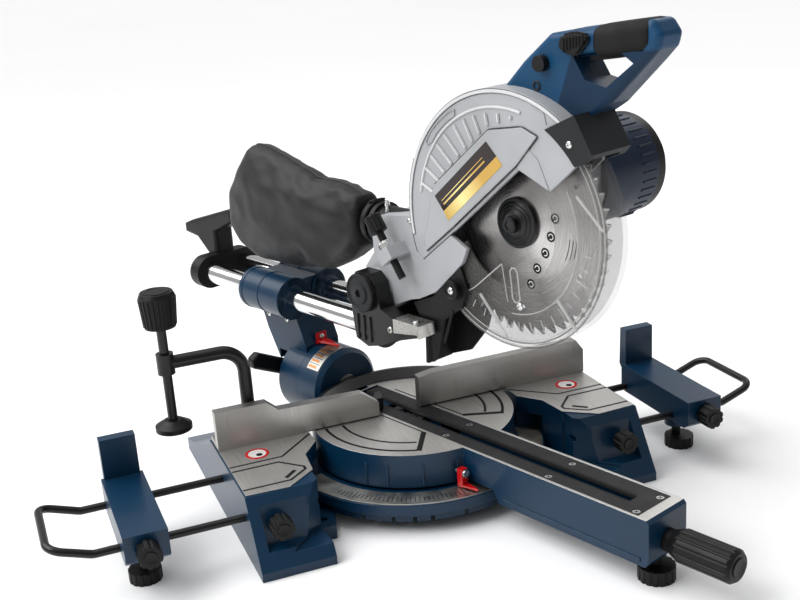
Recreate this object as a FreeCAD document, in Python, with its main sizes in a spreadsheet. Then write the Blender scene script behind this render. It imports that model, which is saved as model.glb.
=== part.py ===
import FreeCAD, Part
import math
import os
import re
import Sketcher

# Sliding compound mitre saw, 216 mm blade.
# Frame: origin on the turntable axis at floor height, X along the fence, Y to the rear, Z up.
# The turntable, arm and head are drawn square to the fence and swung by mitre_angle in their Placement.

os.makedirs("parts", exist_ok=True)
doc = FreeCAD.newDocument("MitreSaw")
sheet = doc.addObject("Spreadsheet::Sheet", "Sizes")

DRIVING = [
    ("mitre_angle", 20),
    # base
    ("table_top", 72.3), ("table_half", 216), ("table_front", -105), ("table_rear", 42),
    ("plate_thick", 12), ("foot_front", -147), ("foot_rear", 188),
    ("ring_radius", 143), ("ring_low", 22), ("ring_high", 34), ("pan_radius", 110.5),
    ("bolt_half_x", 135), ("bolt_half_y", 82), ("bolt_hole", 4.25),
    ("fence_face", 5), ("fence_low", 105), ("fence_high", 115.5), ("fence_thick", 12),
    ("gap_left", -36), ("gap_right", 12), ("bow_inner", 96), ("bow_outer", 110.5), ("bow_high", 82),
    # turntable and arm
    ("disc_radius", 111), ("disc_low", 36), ("arm_half", 27.8), ("arm_end", -339), ("arm_low", 25),
    ("kerf_half", 24.5), ("kerf_thick", 4), ("kerf_left", -7), ("kerf_right", 5),
    ("lock_height", 44), ("grip_radius", 16), ("grip_end", -412), ("foot_y", -327),
    # bevel
    ("knuckle_radius", 45), ("knuckle_front", 112), ("knuckle_split", 152), ("knuckle_rear", 186),
    ("bevel_bolt_radius", 8), ("turn_bolt_radius", 8),
    # slide
    ("rail_half", 26), ("rail_height", 176), ("rail_radius", 12.5), ("rail_front", 8),
    ("rail_rear", 354), ("boss_front", 165), ("boss_rear", 243), ("bush_radius", 16),
    ("slide_fit", 0.04), ("cap_front", 340), ("cap_rear", 358),
    # chop
    ("chop_y", 12), ("chop_z", 220), ("pin_radius", 7), ("lug_inner", 27.5), ("lug_outer", 42),
    # blade and guards
    ("blade_x", -3), ("blade_y", -173), ("blade_z", 313.5), ("blade_radius", 108), ("blade_thick", 2.4),
    ("guard_outer", 127), ("guard_inner", 122.5), ("cover_radius", 116.5), ("spindle_radius", 6),
    ("guard_left", -25), ("guard_right", 14), ("nose_radius", 26),
    # motor
    ("motor_y", -178), ("motor_z", 344), ("motor_radius", 50), ("motor_start", 58), ("motor_end", 158),
    ("gear_radius", 30.4), ("pinion_radius", 8.2),
    # extension supports
    ("rod_radius", 4), ("rod_height", 47), ("rod_rear", -6), ("rod_front", -99.5),
    ("left_block", -317), ("right_block", 289), ("block_half", 21), ("block_front", -131),
    ("loop_out", 86),
    # clamp
    ("clamp_x", -175), ("clamp_y", 27), ("clamp_reach", 80), ("clamp_high", 172), ("post_radius", 7),
    ("port_radius", 19), ("port_x", -2), ("port_z", 284),
    # depth stop screw: top of its knob and its lean to the rear
    ("stop_x", -41), ("stop_y", -5.4), ("stop_z", 302), ("stop_lean", 35.8),
    ("running", 0.05),
]
for row, (alias, value) in enumerate(DRIVING, start=1):
    sheet.set(f"A{row}", alias)
    sheet.set(f"B{row}", str(value))
    sheet.setAlias(f"B{row}", alias)
doc.recompute()
NAMES = {alias for alias, _ in DRIVING}
SIZE = dict(DRIVING)
nodes = []


# ---------------------------------------------------------------- helpers
def formula(value):
    """Turn a size written with sheet names into an expression."""
    return re.sub(r"[a-z]\w*", lambda m: "Sizes." + m.group() if m.group() in NAMES else m.group(), str(value))


def tie(thing, path, value):
    thing.setExpression(path, formula(value))


def new(kind):
    return doc.addObject(kind, kind.split("::")[1])


def box(x0, x1, y0, y1, z0, z1):
    solid = new("Part::Box")
    for side, axis, low, high in (("Length", "x", x0, x1), ("Width", "y", y0, y1), ("Height", "z", z0, z1)):
        tie(solid, side, f"({high}) - ({low})")
        tie(solid, "Placement.Base." + axis, low)
    return solid


TURN = {"x": (FreeCAD.Vector(0, 1, 0), 90), "y": (FreeCAD.Vector(1, 0, 0), -90), "z": (FreeCAD.Vector(0, 0, 1), 0)}


def rod(axis, radius, start, end, a, b, tip=None):
    """Round bar along an axis from start to end; a and b place it on the other two axes in order."""
    solid = new("Part::Cylinder" if tip is None else "Part::Cone")
    solid.Placement.Rotation = FreeCAD.Rotation(*TURN[axis])
    if tip is None:
        tie(solid, "Radius", radius)
    else:
        tie(solid, "Radius1", radius)
        tie(solid, "Radius2", tip)
    tie(solid, "Height", f"({end}) - ({start})")
    others = [name for name in "xyz" if name != axis]
    for name, value in ((axis, start), (others[0], a), (others[1], b)):
        tie(solid, "Placement.Base." + name, value)
    return solid


PLANE = {"xy": FreeCAD.Rotation(), "yz": FreeCAD.Rotation(FreeCAD.Vector(1, 1, 1), 120),
         "xz": FreeCAD.Rotation(FreeCAD.Vector(1, 0, 0), 90)}
NORMAL = {"xy": "z", "yz": "x", "xz": "y"}


def outline(plane, points, at=0):
    """Closed sketch. A point is (u, v), or (u, v, mu, mv) when an arc through (mu, mv) leads to the next one."""
    sketch = new("Sketcher::SketchObject")
    sketch.Placement.Rotation = PLANE[plane]
    tie(sketch, "Placement.Base." + NORMAL[plane], at)
    value = [[float(sheet.evalExpression(formula(c))) if isinstance(c, str) else float(c) for c in p] for p in points]
    for number, here in enumerate(value):
        there = value[(number + 1) % len(value)]
        first = FreeCAD.Vector(here[0], here[1], 0)
        last = FreeCAD.Vector(there[0], there[1], 0)
        if len(here) == 4:
            sketch.addGeometry(Part.Arc(first, FreeCAD.Vector(here[2], here[3], 0), last))
        else:
            sketch.addGeometry(Part.LineSegment(first, last))
    straight = all(len(p) == 2 for p in points)
    if straight:
        for number, point in enumerate(points):
            sketch.addConstraint(Sketcher.Constraint("Coincident", number, 2, (number + 1) % len(points), 1))
            for kind, which in (("DistanceX", 0), ("DistanceY", 1)):
                size = value[number][which]
                index = sketch.addConstraint(Sketcher.Constraint(kind, -1, 1, number, 1, size))
                if isinstance(point[which], str):
                    tie(sketch, f"Constraints[{index}]", point[which])
    return sketch


def slab(plane, points, start, end):
    """Outline in a plane, extruded along the plane's axis from start to end."""
    back = plane == "xz"
    sketch = outline(plane, points, end if back else start)
    solid = new("Part::Extrusion")
    solid.Base = sketch
    solid.DirMode = "Normal"
    solid.Solid = True
    tie(solid, "LengthFwd", f"({end}) - ({start})")
    return solid


def cut(base, *tools):
    body = new("Part::Cut")
    body.Base = base
    body.Tool = join(*tools)
    body.Refine = True
    return body


def join(*pieces):
    if len(pieces) == 1:
        return pieces[0]
    body = new("Part::MultiFuse")
    body.Shapes = list(pieces)
    body.Refine = True
    return body


def meet(first, second):
    body = new("Part::Common")
    body.Base = first
    body.Tool = second
    return body


def group(*pieces):
    body = new("Part::Compound")
    body.Links = list(pieces)
    return body


def soften(solid, radius, wanted):
    """Fillet the edges that the test picks; the test gets the edge's middle and its direction."""
    doc.recompute()
    picked = []
    for number, edge in enumerate(solid.Shape.Edges, start=1):
        middle = edge.valueAt((edge.FirstParameter + edge.LastParameter) / 2)
        along = edge.tangentAt((edge.FirstParameter + edge.LastParameter) / 2)
        if wanted(middle, along):
            picked.append((number, radius, radius))
    body = new("Part::Fillet")
    body.Base = solid
    body.Edges = picked
    return body


def ring(axis, outer, inner, start, end, a, b):
    over = 1
    return cut(rod(axis, outer, start, end, a, b),
               rod(axis, inner, f"({start}) - {over}", f"({end}) + {over}", a, b))


def fluted(axis, radius, start, end, a, b, flutes, depth):
    """Knob body with round flutes along it."""
    lobes = []
    for number in range(flutes):
        angle = math.radians(360 * number / flutes)
        offset = f"({radius} + {depth} * 0.4)"
        lobes.append(rod(axis, depth, f"({start}) - 1", f"({end}) + 1",
                         f"({a}) + {offset} * {math.cos(angle):.4f}", f"({b}) + {offset} * {math.sin(angle):.4f}"))
    return cut(rod(axis, radius, start, end, a, b), *lobes)


def bent(points, radius, bend):
    """Round wire through points (millimetres), each inner corner rounded."""
    spots = [FreeCAD.Vector(*p) for p in points]
    edges = []
    last = spots[0]
    for number in range(1, len(spots) - 1):
        here = spots[number]
        before = (spots[number - 1] - here).normalize()
        after = (spots[number + 1] - here).normalize()
        half = before.getAngle(after) / 2
        run = bend / math.tan(half)
        start = here + before * run
        stop = here + after * run
        middle = here + (before + after).normalize() * (bend / math.sin(half) - bend)
        edges.append(Part.makeLine(last, start))
        edges.append(Part.Arc(start, middle, stop).toShape())
        last = stop
    edges.append(Part.makeLine(last, spots[-1]))
    path = Part.Wire(edges)
    profile = Part.Wire(Part.makeCircle(radius, spots[0], spots[1] - spots[0]))
    feature = new("Part::Feature")
    feature.Shape = path.makePipeShell([profile], True, True)
    return feature


def keep(name, body, swung=True):
    """Name a finished sub-part; swung ones turn with the mitre table."""
    if swung or body.TypeId in ("Part::Box", "Part::Cylinder", "Part::Cone", "Part::Extrusion"):
        body = group(body)
    body.Label = name
    if swung:
        tie(body, "Placement.Rotation.Angle", "mitre_angle")
    nodes.append(body)


# ---------------------------------------------------------------- base
def side_block(side):
    """Cast foot and table of one side; side is -1 for the left and 1 for the right."""
    def span(inner, outer):
        return (f"{side * outer}", f"{side * inner}") if side < 0 else (f"{inner}", f"{outer}")

    top = [(f"{side}*table_half", "table_rear"), (f"{side}*table_half", "table_front"),
           (f"{side}*172", "table_front - 2"), (f"{side}*141", -82), (f"{side}*137", -45),
           (f"{side}*118", -20), (f"{side}*117", "table_rear")]
    table = slab("xy", top, "table_top - plate_thick", "table_top")
    profile = [("foot_front", 0), ("foot_front", 9), ("table_front - 1.5", "table_top - 1"),
               ("table_rear", "table_top - 1"), ("table_rear + 18", 58), (150, 24), ("foot_rear", 14), ("foot_rear", 0)]
    low, high = ("-table_half - 1.5", "-143") if side < 0 else ("143", "table_half + 1.5")
    wedge = slab("yz", profile, low, high)
    inner, outer = (("-176", "-140") if side < 0 else ("140", "176"))
    rear_clear = box(inner, outer, "table_rear", 200, -1, 80)
    sweep = slab("xy", [(f"{side}*142", -100), (f"{side}*190", -148), (f"{side}*142", -148)], 20, 80)
    lobe = join(slab("xy", [(f"{side}*112", -44), (f"{side}*150", -44), (f"{side}*150", -100), (f"{side}*127", -100)],
                     0, 15),
                slab("xy", [(f"{side}*112", 44), (f"{side}*182", 44), (f"{side}*182", 100), (f"{side}*127", 100)], 0, 15))
    wall = slab("xy", [(f"{side}*118", -20), (f"{side}*137", -45), (f"{side}*141", -82), (f"{side}*150", -82),
                       (f"{side}*150", "table_rear"), (f"{side}*117", "table_rear")], 0, "table_top - 1")
    return join(table, cut(wedge, rear_clear, sweep), lobe, wall)


def side_hollow(side):
    """Space inside a cast foot, the recess for its lock knob and the bores for the support's rods."""
    def place(near, far):
        return (f"{-far}", f"{-near}") if side < 0 else (f"{near}", f"{far}")

    core = join(box(*place(150, 189), -94, 34, 5, "table_top - plate_thick"),
                box(*place(184, 209), 48, 165, -1, 12))
    under = box(*place(150, 209), -138, 34, -1, 5.1)
    recess = slab("yz", [(-150, 24), (-150, 64), (-112, 64), (-121, 24)], *place(158, 206))
    bores = [rod("x", "rod_radius + running", *place(140, 230), y, "rod_height") for y in ("rod_rear", "rod_front")]
    knob_bore = rod("y", "4 + running", -140, -94, side * 190, 45)
    hole = [rod("z", "bolt_hole", -1, 30, side * SIZE["bolt_half_x"], f"{end}*bolt_half_y") for end in (-1, 1)]
    clamp_bore = rod("z", "post_radius + running", 40, 80, f"{-side}*clamp_x" if side > 0 else "clamp_x", "clamp_y")
    return [core, under, recess, knob_bore, clamp_bore] + bores + hole


def base_casting():
    pan = rod("z", "pan_radius", "ring_low", "ring_high - 1.5", 0, 0)
    front = cut(rod("z", "ring_radius", "ring_low", "ring_high", 0, 0), box(-160, 160, -12, 160, 0, 80))
    skirt = rod("z", "ring_radius - 6", 12, "ring_high - 2", 0, 0)
    skirt = cut(skirt, rod("z", "ring_radius - 14", 0, 80, 0, 0), box(-160, 160, -60, 160, 0, 80))
    bridge = box(-152, 152, -44, 44, 0, "ring_high - 1.5")
    tunnel = cut(box(-112, 112, -60, 60, -1, "ring_low"), rod("z", 20, -2, 60, 0, 0))
    clear = rod("z", "disc_radius + 5.5", "ring_high - 1.5", 80, 0, 0)
    boss = rod("z", 24, 0, "disc_low + 8", 0, 0)
    seat = rod("z", "turn_bolt_radius + running", -1, 80, 0, 0)
    scale_seat = ring("z", "ring_radius + 1", "disc_radius + 5.5", "ring_high - 1.5", "ring_high + 20", 0, 0)
    scale_seat = meet(scale_seat, box(-150, 150, -150, -20, 0, 80))
    whole = join(pan, front, skirt, bridge, side_block(-1), side_block(1))
    whole = cut(whole, tunnel, clear)
    whole = join(whole, boss)
    notches = []
    reach = SIZE["ring_radius"] - 10
    for detent in (-45, -31.6, -22.5, -15, 0, 15, 22.5, 31.6, 45):
        angle = math.radians(-90 + detent)
        notches.append(rod("z", 4.4, 10, 17, f"{reach * math.cos(angle):.4f}", f"{reach * math.sin(angle):.4f}"))
    bolts = [rod("z", 3 + 0.05, 55, 80, x, "fence_face + 22") for x in (-200, -135, 135, 200)]
    whole = cut(whole, seat, scale_seat, *notches, *bolts, *side_hollow(-1), *side_hollow(1))
    keep("base_casting", whole, swung=False)


def fence():
    left = [("-table_half", "table_top"), ("-table_half", "fence_high"), (-160, "fence_high"), (-148, "fence_low"),
            ("gap_left - 18", "fence_low - 2"), ("gap_left", 89), ("gap_left", "table_top + 0.4"),
            (-118, "table_top + 0.4"), (-118, "table_top")]
    right = [("table_half + 2", "table_top"), ("table_half + 2", 100), ("table_half - 7", "fence_high - 3"),
             (30, "fence_high - 5"), ("gap_right", "fence_high - 8"), ("gap_right", "table_top + 0.4"),
             (118, "table_top + 0.4"), (118, "table_top")]
    faces = [slab("xz", points, "fence_face", "fence_face + fence_thick") for points in (left, right)]
    flanges = [box(x0, x1, "fence_face", "fence_face + 32", "table_top", "table_top + 6")
               for x0, x1 in (("-table_half", -118), (118, "table_half"))]
    dish = rod("z", "bow_inner", "table_top + 0.4", "bow_high + 0.1", 0, 0, "bow_outer - 4")
    bow = cut(rod("z", "bow_outer", "table_top + 0.4", "bow_high", 0, 0), dish)
    bow = meet(bow, box(-130, 130, "fence_face + 4", 130, 60, 130))
    holes = [rod("z", 3.05, 60, 120, x, "fence_face + 22") for x in (-200, -135, 135, 200)]
    clamp_bore = rod("z", "9", 60, 90, "clamp_x", "clamp_y")
    keep("fence", cut(join(*faces, *flanges, bow), *holes, clamp_bore), swung=False)


def bolt(axis, radius, start, end, a, b, head_radius, head_high, up=1):
    """Screw with a round head at its end (up = 1) or its start (up = -1)."""
    shank = rod(axis, radius, start, end, a, b)
    if up > 0:
        cap = rod(axis, head_radius, end, f"({end}) + {head_high}", a, b)
    else:
        cap = rod(axis, head_radius, f"({start}) - {head_high}", start, a, b)
    return join(shank, cap)


def base_fittings():
    arc = ring("z", "ring_radius - 1.5", "disc_radius + 5.5", "ring_high - 1.5", "ring_high", 0, 0)
    keep("mitre_scale", meet(arc, box(-150, 150, -150, -20, 0, 80)), swung=False)
    keep("fence_bolts", group(*[bolt("z", 3, 58, "table_top + 6", x, "fence_face + 22", 5.5, 4)
                                for x in (-200, -135, 135, 200)]), swung=False)
    pivot = bolt("z", "turn_bolt_radius", 3, 60, 0, 0, 13, 6)
    nut = rod("z", 13, 60, 66, 0, 0)
    keep("turntable_bolt", join(pivot, nut), swung=False)
    for name, side in (("left_base_knob", -1), ("right_base_knob", 1)):
        stem = rod("y", 4, -124, "rod_front - rod_radius - 0.1", side * 190, 45)
        head = fluted("y", 11.5, -138, -123.5, side * 190, 45, 9, 2.2)
        keep(name, join(stem, head), swung=False)


# ---------------------------------------------------------------- turntable and arm
def turntable():
    disc = rod("z", "disc_radius", "disc_low", "table_top", 0, 0)
    hollow = cut(rod("z", "disc_radius - 9", "disc_low - 1", "table_top - 10", 0, 0),
                 rod("z", 34, 0, 80, 0, 0))
    arm = slab("yz", [("arm_end + 4", "arm_low"), ("arm_end", "arm_low + 6"), ("arm_end", "table_top - 3"),
                      ("arm_end + 3", "table_top"), (-60, "table_top"), (-60, 38), (-148, 38), (-156, "arm_low")],
               "-arm_half", "arm_half")
    arm_core = box("-arm_half + 5", "arm_half - 5", "arm_end + 34", -70, 0, 52)
    seat = box("-kerf_half", "kerf_half", "arm_end + 14", 88, "table_top - kerf_thick - 0.3", "table_top + 1")
    trench = box(-14, 14, -305, 40, 54, "table_top")
    lead = rod("y", "knuckle_radius - 5", "knuckle_front", "knuckle_front + 5", 0, "table_top", "knuckle_radius")
    knuckle = join(lead, rod("y", "knuckle_radius", "knuckle_front + 5", "knuckle_split - 0.2", 0, "table_top"))
    tongue = join(box(-36, 36, 84, 124, 38, 58), knuckle)
    bore = rod("y", "bevel_bolt_radius + running", 100, 160, 0, "table_top")
    head_room = rod("y", 14.2, 90, "knuckle_front + 9", 0, "table_top")
    pivot = rod("z", "turn_bolt_radius + 6", 0, 80, 0, 0)
    pivot_room = rod("z", "24 + running", 30, "disc_low + 8.1", 0, 0)
    nut_room = rod("z", 14.5, "disc_low + 8", "table_top - kerf_thick", 0, 0)
    pivot_bore = rod("z", "turn_bolt_radius + running", 30, 60, 0, 0)
    lock_bore = rod("y", 5.05, "arm_end - 2", "arm_end + 40", 0, "lock_height")
    foot_bore = rod("z", 5.05, 0, 60, 0, "foot_y")
    rest = join(cut(disc, hollow), cut(arm, arm_core), tongue)
    whole = cut(rest, seat, trench, bore, pivot_room, nut_room, pivot_bore, lock_bore, foot_bore,
                head_room)
    keep("turntable_casting", whole)


def turntable_fittings():
    plate = box("-kerf_half + 0.3", "kerf_half - 0.3", "arm_end + 14.3", 84, "table_top - kerf_thick - 0.3",
                "table_top - 0.3")
    slot = box("kerf_left", "kerf_right", -302, 90, 60, 80)
    spots = [(x, y) for y in (-318, -214, -72) for x in (-18, 17)]
    holes = [rod("z", 4, 60, 80, x, y) for x, y in spots]
    keep("kerf_plate", cut(plate, slot, *holes))
    screws = [rod("z", 3.8, "table_top - kerf_thick - 0.2", "table_top - 0.8", x, y) for x, y in spots]
    pointer_screw = bolt("y", 2.4, -118, -106, -37, 50, 4.2, 2.5, up=-1)
    keep("turntable_screws", group(*screws, pointer_screw))
    band = ring("y", "knuckle_radius + 1.2", "knuckle_radius + 0.02", 118, 139, 0, "table_top")
    sector = slab("xz", [(0, "table_top"), (5, 140), (-60, 140), (-60, 118)], 114, 145)
    keep("bevel_scale", meet(band, sector))
    stem = box(-41, -33, -118, -110.6, 35, 54.5)
    tip = slab("xy", [(-41, -118), (-33, -118), (-36.4, -136), (-37.6, -136)], 36, 38)
    keep("mitre_pointer", join(cut(stem, rod("y", 2.5, -120, -100, -37, 50)), tip))
    shaft = rod("y", "bevel_bolt_radius", "knuckle_front + 1", "knuckle_rear + 22", 0, "table_top")
    head = rod("y", 14, "knuckle_front", "knuckle_front + 8.9", 0, "table_top")
    keep("bevel_bolt", join(shaft, head))


def mitre_lock():
    stem = rod("y", 5, "arm_end - 8", "arm_end + 36", 0, "lock_height")
    collar = rod("y", 11, "arm_end - 8", "arm_end - 0.5", 0, "lock_height")
    grip = fluted("y", "grip_radius", "grip_end", "arm_end - 8", 0, "lock_height", 14, 1.8)
    grip = meet(grip, join(rod("y", "grip_radius - 3", "grip_end", "grip_end + 5", 0, "lock_height", "grip_radius + 1"),
                           rod("y", "grip_radius + 1", "grip_end + 5", "arm_end - 20", 0, "lock_height"),
                           rod("y", "grip_radius + 1", "arm_end - 20", "arm_end - 8", 0, "lock_height", 12)))
    keep("mitre_lock_handle", join(stem, collar, grip))


def arm_foot():
    stem = rod("z", 5, 8, 38, 0, "foot_y")
    disc = fluted("z", 17.5, 0, 14, 0, "foot_y", 16, 1.6)
    keep("arm_foot", join(stem, disc))


# ---------------------------------------------------------------- bevel arm
def bevel_arm():
    drum = rod("y", "knuckle_radius", "knuckle_split", "knuckle_rear", 0, "table_top")
    web = slab("yz", [(154, 80), (154, 118), (168, 150), ("boss_front + 4", 190), ("boss_rear - 4", 190),
                      ("boss_rear - 4", 158), (228, 128), (208, 92), ("knuckle_rear", 62)], -24, 24)
    bosses = [rod("y", "rail_radius + 12", "boss_front", "boss_rear", f"{side}*rail_half", "rail_height")
              for side in (-1, 1)]
    shelf = box("-rail_half", "rail_half", "boss_front + 3", "boss_rear - 3", "rail_height - 20", "rail_height + 20")
    bores = [rod("y", "bush_radius", "boss_front - 1", "boss_rear + 1", f"{side}*rail_half", "rail_height")
             for side in (-1, 1)]
    hub = rod("y", "bevel_bolt_radius + running", 140, 240, 0, "table_top")
    lever_room = rod("y", 40, "knuckle_rear", "knuckle_rear + 22", 0, "table_top")
    whole = cut(join(drum, web, shelf, *bosses), *bores, hub, lever_room)
    keep("bevel_arm_casting", whole)
    bushes = [ring("y", "bush_radius", "rail_radius + slide_fit", start, f"({start}) + 26", f"{side}*rail_half",
                   "rail_height") for side in (-1, 1) for start in ("boss_front + 2", "boss_rear - 28")]
    keep("slide_bushes", group(*bushes))
    foot = box(-9, 6, 152.2, 153.9, "table_top + knuckle_radius + 0.2", 131)
    tip = slab("xy", [(-8, 152.8), (5, 152.8), (4, 140), (-1, 120), (-4, 140)], 119.3, 122)
    keep("bevel_pointer", join(foot, tip))


def bevel_lever():
    hub = ring("y", 15, "bevel_bolt_radius + running", "knuckle_rear + 0.5", "knuckle_rear + 20", 0, "table_top")
    side = [(-4, "table_top + 11"), (-66, "table_top + 42"), (-76, "table_top + 36"), (-74, "table_top + 24"),
            (-12, "table_top - 6")]
    handle = slab("xz", side, "knuckle_rear + 4", "knuckle_rear + 18")
    handle = soften(handle, 4.5, lambda middle, along: middle.x < -20)
    handle = cut(handle, rod("y", 14, 150, 240, 0, "table_top"))
    keep("bevel_lock_lever", join(hub, handle))


# ---------------------------------------------------------------- carriage
def carriage():
    rails = [ring("y", "rail_radius", "rail_radius - 3", "rail_front", "rail_rear", f"{side}*rail_half", "rail_height")
             for side in (-1, 1)]
    keep("slide_rails", group(*rails))
    cap = join(*[rod("y", "rail_radius + 8", "cap_front", "cap_rear", f"{side}*rail_half", "rail_height")
                 for side in (-1, 1)],
               box("-rail_half", "rail_half", "cap_front", "cap_rear", "rail_height - 20.5", "rail_height + 20.5"))
    lever = [("cap_front + 2", 190), ("cap_rear", 190), (386, 212), (414, 215), (414, 227), (398, 233), (300, 262),
             (300, 244), (342, 226)]
    neck = slab("yz", lever, -14, 14)
    neck = soften(neck, 5, lambda middle, along: abs(middle.x) > 13 and middle.z > 200)
    sockets = [rod("y", "rail_radius", "cap_front - 1", "rail_rear", f"{side}*rail_half", "rail_height")
               for side in (-1, 1)]
    keep("rear_handle", cut(join(cap, neck), *sockets))
    clamps = [rod("y", "rail_radius + 8", 0, 30, f"{side}*rail_half", "rail_height") for side in (-1, 1)]
    middle = box("-rail_half", "rail_half", 0, 30, 158, 194)
    side = [(29, 166), (33, 195), (33, 214), (30, 232), (22, 241), (2, 241), (-8, 232), (-14, 206), (-34, 198),
            (-72, 198), (-72, 188), (-34, 176), (-12, 166), (10, 160)]
    cheeks = [slab("yz", side, x0, x1) for x0, x1 in (("-lug_outer - 4", "-lug_inner"), ("lug_inner", "lug_outer"))]
    nose = slab("yz", [(-34, 176), (-12, 166), (10, 160), (10, 190), (-20, 192)], "-lug_outer", "lug_outer")
    bores = [rod("y", "rail_radius", "rail_front", 70, f"{side}*rail_half", "rail_height") for side in (-1, 1)]
    pin_bore = rod("x", "pin_radius", -60, 60, "chop_y", "chop_z")
    arm_sweep = slab("yz", [(-60, 160), (-19, 160), (-19, 184.5), (9, 193), (40, 195), (40, 250), (-60, 250)],
                     "-lug_inner", "lug_inner")
    keep("carriage_casting", cut(join(*clamps, middle, *cheeks, nose), *bores, pin_bore, arm_sweep))
    pin = rod("x", "pin_radius", "-lug_outer - 6", "lug_outer + 2", "chop_y", "chop_z")
    caps = [rod("x", 21, "-lug_outer - 9", "-lug_outer - 4", "chop_y", "chop_z"),
            rod("x", 18, "lug_outer", "lug_outer + 5", "chop_y", "chop_z")]
    keep("chop_pin", join(pin, *caps))
    plate = slab("yz", [(-36, 186), (-36, 201.3), (-75, 201.3), (-75, 192)], "-lug_outer - 7", "-lug_outer - 4")
    ledge = join(box("-lug_outer - 7", "-lug_inner", -75, -36, 198, 201.3),
                 box("-lug_outer - 7", "-lug_inner", -75, -72, 188, 201.3))
    keep("depth_stop_plate", join(plate, ledge))


# ---------------------------------------------------------------- head
def sector_points(radius, start, stop):
    """Arc of a wheel round the blade axis, as one arc leg of an outline (angles from +Y towards +Z)."""
    def spot(angle):
        turn = math.radians(angle)
        return SIZE["blade_y"] + radius * math.cos(turn), SIZE["blade_z"] + radius * math.sin(turn)
    first, middle, last = spot(start), spot((start + stop) / 2), spot(stop)
    return [(*first, *middle), last]


def tilted(solid):
    """Lean a part drawn along Z at the origin to the depth stop screw's line."""
    wrap = group(solid)
    wrap.Placement = FreeCAD.Placement(FreeCAD.Vector(0, SIZE["stop_y"], SIZE["stop_z"]),
                                       FreeCAD.Rotation(FreeCAD.Vector(1, 0, 0), -SIZE["stop_lean"]))
    return wrap


def head_arm():
    side = [(-62, 264), (-60, 308), (0, 300), (16, 288), (15, 258), (30, 240), (31, 222), (25, 206), (13, 201),
            (-8, 203), (-40, 217), (-52, 220), (-77, 232), (-97, 250), (-117, 269), (-124, 284), (-100, 296)]
    body = slab("yz", side, "guard_left", "guard_right + 10")
    hub = rod("x", 21, "-lug_inner + 0.4", "lug_inner - 0.4", "chop_y", "chop_z")
    fork_room = rod("x", "guard_inner", -20.5, 11, "blade_y", "blade_z")
    lug = tilted(box("stop_x - 9", "guard_left + 1", -10, 10, -50, -36))
    spring_room = ring("x", 19, 14, 6, "lug_inner", "chop_y", "chop_z")
    pin_bore = rod("x", "pin_radius + running", -60, 60, "chop_y", "chop_z")
    screw_bore = tilted(rod("z", "4 + running", -60, 20, "stop_x", 0))
    port_room = rod("y", "port_radius", -80, 40, "port_x", "port_z")
    arm = cut(join(body, hub, lug), guard_blank(), fork_room, spring_room, pin_bore, screw_bore, port_room)
    keep("head_arm", arm)
    coils = [ring("x", 17.8, 15.2, 6.6 + 3.2 * turn, 8.8 + 3.2 * turn, "chop_y", "chop_z") for turn in range(5)]
    tie_bar = box(6.6, 21.6, "chop_y - 1", "chop_y + 1", "chop_z + 15.4", "chop_z + 17.4")
    keep("return_spring", join(*coils, tie_bar))
    return arm


def guard_blank():
    """Outside of the upper guard, before it is hollowed."""
    chord = [(-231, 354), (-212, 384), (-194, 369), (-109, 300), (-62, 264)]
    rim = sector_points(SIZE["guard_outer"], -19, 135)
    return slab("yz", rim + [(-260, 379)] + chord, "guard_left", "guard_right")


def upper_guard():
    room = rod("x", "guard_inner", -21.5, 11, "blade_y", "blade_z")
    port_room = join(rod("y", "port_radius", -80, 40, "port_x", "port_z"),
                     box("guard_left + 2.5", "port_radius + 3", -76, -30, 250, 306))
    keep("upper_guard", cut(guard_blank(), room, port_room))


def front_bracket():
    side = [(-229, 409), (-262, 424), (-281, 392), (-275, 385), (-262, 380)]
    body = slab("yz", side, "guard_left - 3", 24)
    room = rod("x", "guard_outer + 0.5", "guard_left - 0.05", "guard_right + 0.4", "blade_y", "blade_z")
    edge = rod("x", 110.5, "guard_left - 4", "guard_left + 1", "blade_y", "blade_z")
    bracket = cut(body, room, edge)
    keep("front_bracket", bracket)
    return bracket


def chip_chute(arm):
    side = [(-42, 214), (-71, 226), (-97, 247), (-113, 264), (-121, 244), (-112, 222), (-86, 204), (-74, 160),
            (-66, 154), (-67, 189), (-55, 192)]
    far_side = [(-42, 214), (-71, 226), (-97, 247), (-113, 264), (-121, 244), (-116, 206), (-110, 190), (-86, 162),
                (-52, 149), (-55, 192)]
    left = slab("yz", side, -24, -21)
    right = slab("yz", far_side, 11, 14)
    back = slab("yz", [(-42, 214), (-46, 216), (-60, 194), (-57, 150), (-53, 150), (-55, 192)], -22, 12)
    boss = rod("x", 10, -30, -24, -104, 240)
    clear = rod("x", "guard_inner", -20.9, 10.9, "blade_y", "blade_z")
    keep("chip_chute", cut(join(left, right, back, boss), arm, clear))


def dust_collection():
    port = ring("y", "port_radius", "port_radius - 3", -50, 34, "port_x", "port_z")
    flange = ring("y", 22.5, "port_radius - 3", 18, 24, "port_x", "port_z")
    seat = rod("x", "guard_outer", -21.5, 11, "blade_y", "blade_z")
    keep("dust_port", cut(join(port, flange), seat))
    side = [(36, 258), (60, 236), (101, 216), (180, 209), (237, 208), (276, 221), (294, 247), (288, 292), (238, 350),
            (225, 352), (138, 336), (60, 322), (36, 312)]
    bag = slab("yz", side, -34, 16)
    bag = soften(bag, 18, lambda middle, along: abs(middle.x + 9) > 24 and 50 < middle.y < 400)
    keep("dust_bag", bag)


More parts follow.
